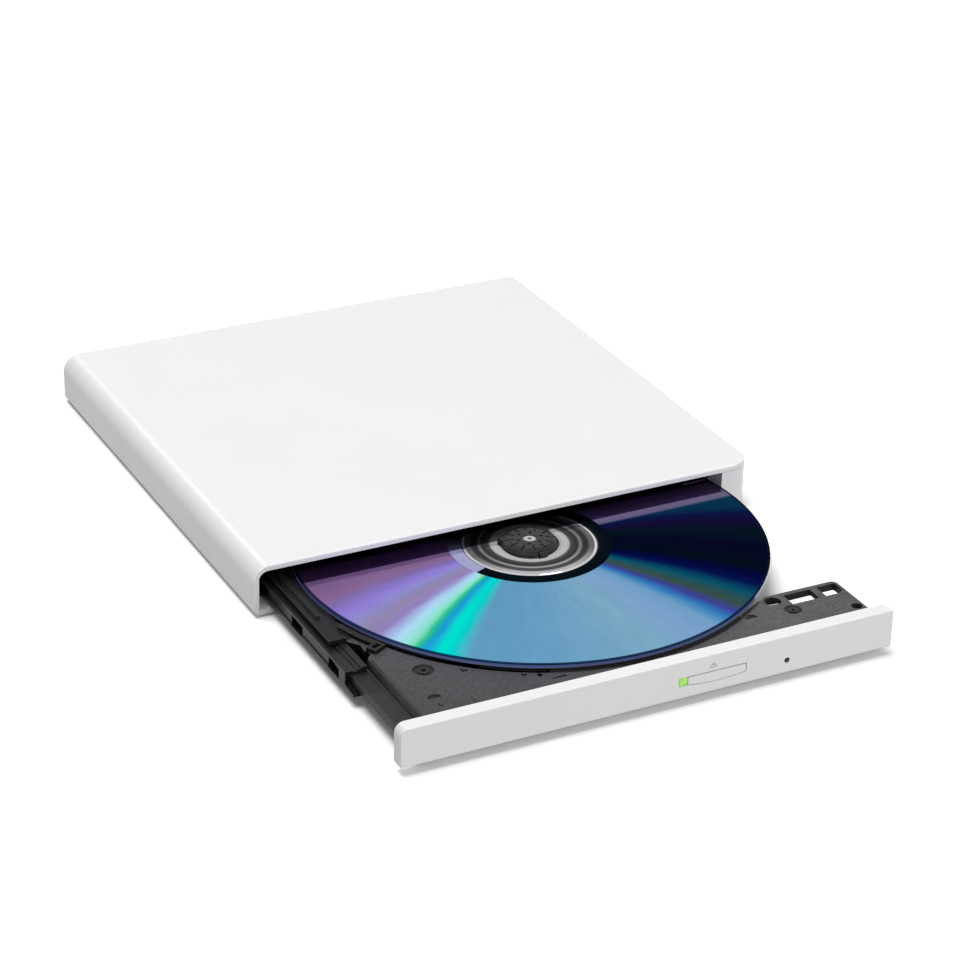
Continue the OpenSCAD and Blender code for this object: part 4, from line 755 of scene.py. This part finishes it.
def add_world():
    """White surroundings, bright to the eye and in reflections and weak as a light."""
    world = bpy.data.worlds.new("world")
    scene.world = world
    world.use_nodes = True
    tree = world.node_tree
    sky = tree.nodes["Background"]
    sky.inputs["Color"].default_value = (1.0, 1.0, 1.0, 1.0)
    rays = tree.nodes.new("ShaderNodeLightPath")
    share = rays.outputs["Is Camera Ray"]
    for name in ("Is Glossy Ray", "Is Transmission Ray"):
        most = tree.nodes.new("ShaderNodeMath")
        most.operation = "MAXIMUM"
        tree.links.new(share, most.inputs[0])
        tree.links.new(rays.outputs[name], most.inputs[1])
        share = most.outputs[0]
    level = tree.nodes.new("ShaderNodeMapRange")
    level.inputs["To Min"].default_value = SKY_LIT
    tree.links.new(share, level.inputs["Value"])
    tree.links.new(level.outputs["Result"], sky.inputs["Strength"])


def add_panel(name, place, target, size, watts):
    """A square lamp panel that faces its target."""
    data = bpy.data.lights.new(name, "AREA")
    data.shape = "SQUARE"
    data.size = size
    data.energy = watts
    panel = bpy.data.objects.new(name, data)
    panel.location = place
    aim = Vector(target) - Vector(place)
    panel.rotation_euler = aim.to_track_quat("-Z", "Y").to_euler()
    scene.collection.objects.link(panel)


def sweep(name, path, sides):
    """A closed tube of mesh: a ring of (across, up) corners along a path of (place, across, up)."""
    ring = len(sides)
    points = [place + across * u + up * v for place, across, up in path for u, v in sides]
    faces = [tuple(range(ring - 1, -1, -1)), tuple(range(len(points) - ring, len(points)))]
    for i in range(len(path) - 1):
        for k in range(ring):
            n = (k + 1) % ring
            faces.append((i * ring + k, i * ring + n, (i + 1) * ring + n, (i + 1) * ring + k))
    mesh = bpy.data.meshes.new(name)
    mesh.from_pydata(points, [], faces)
    mesh.validate()
    piece = bpy.data.objects.new(name, mesh)
    scene.collection.objects.link(piece)
    return piece


def add_eject_spring(steel):
    """Wound spring behind the corner plate, which the shut tray presses together."""
    back = SPRING_BACK
    steps = SPRING_TURNS * TURN_STEPS
    path = []
    for i in range(steps + 1):
        turn = math.tau * i / TURN_STEPS
        out = Vector((math.cos(turn), 0.0, math.sin(turn)))
        path.append((back + out * SPRING_REACH - ALONG * (SPRING_LENGTH * i / steps), out, ALONG))
    angles = [math.tau * k / WIRE_SIDES for k in range(WIRE_SIDES)]
    sides = [(WIRE_RADIUS * math.cos(a), WIRE_RADIUS * math.sin(a)) for a in angles]
    piece = sweep("wound_spring", path, sides)
    piece.data.shade_smooth()
    piece.data.materials.append(steel)
    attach(piece, "case")
    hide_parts("eject_spring")
    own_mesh(piece)


def add_ribbon(film):
    """Flat ribbon from the board to the tray: it lies on the pan and folds back."""
    low = ribbon_low.z + FILM / 2
    high = TRAY_UNDERSIDE - FILM / 2
    middle = ribbon_low.x + STRIP_WIDTH / 2
    bend = (high - low) / 2
    path = [(Vector((middle, y, low)), ACROSS, UP) for y in (STRIP_BACK,) + STRIP_STOPS]
    for i in range(FOLD_STEPS + 1):
        turn = math.pi * (i / FOLD_STEPS - 0.5)
        out = Vector((0.0, -math.cos(turn), math.sin(turn)))
        path.append((Vector((middle, FOLD, low + bend)) + out * bend, ACROSS, -out))
    path += [(Vector((middle, y, high)), ACROSS, -UP) for y in (STRIP_RETURN, STRIP_END)]
    piece = sweep("ribbon_strip", path, [(u * STRIP_WIDTH / 2, v * FILM / 2) for u, v in SQUARE])
    piece.data.materials.append(film)
    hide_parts("flex_ribbon")
    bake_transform(piece)

    rise = LEG_RISE
    top = ribbon_high.z - FILM / 2
    corners = [
        (LEG_START, low, 0.0),
        (rise - LEG_BEND, low, 0.0),
        (rise - LEG_CUT, low + LEG_CUT, 45.0),
        (rise, low + LEG_BEND, 90.0),
        (rise, top - LEG_BEND, 90.0),
        (rise + LEG_CUT, top - LEG_CUT, 45.0),
        (rise + LEG_BEND, top, 0.0),
        (ribbon_high.x, top, 0.0),
    ]
    path = []
    for x, z, slope in corners:
        tilt = math.radians(slope)
        up = Vector((-math.sin(tilt), 0.0, math.cos(tilt)))
        path.append((Vector((x, STRIP_BACK - LEG_WIDTH / 2, z)), -ALONG, up))
    leg = sweep("ribbon_leg", path, [(u * LEG_WIDTH / 2, v * FILM / 2) for u, v in SQUARE])
    leg.data.materials.append(ribbon_film("ribbon_leg", "Y"))
    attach(leg, "case")


add_camera()
add_floor()
add_world()
for lamp in LAMPS:
    add_panel(*lamp)
paint_nodes()
add_eject_spring(bpy.data.materials["spring_wire"])
add_ribbon(bpy.data.materials["ribbon_film"])
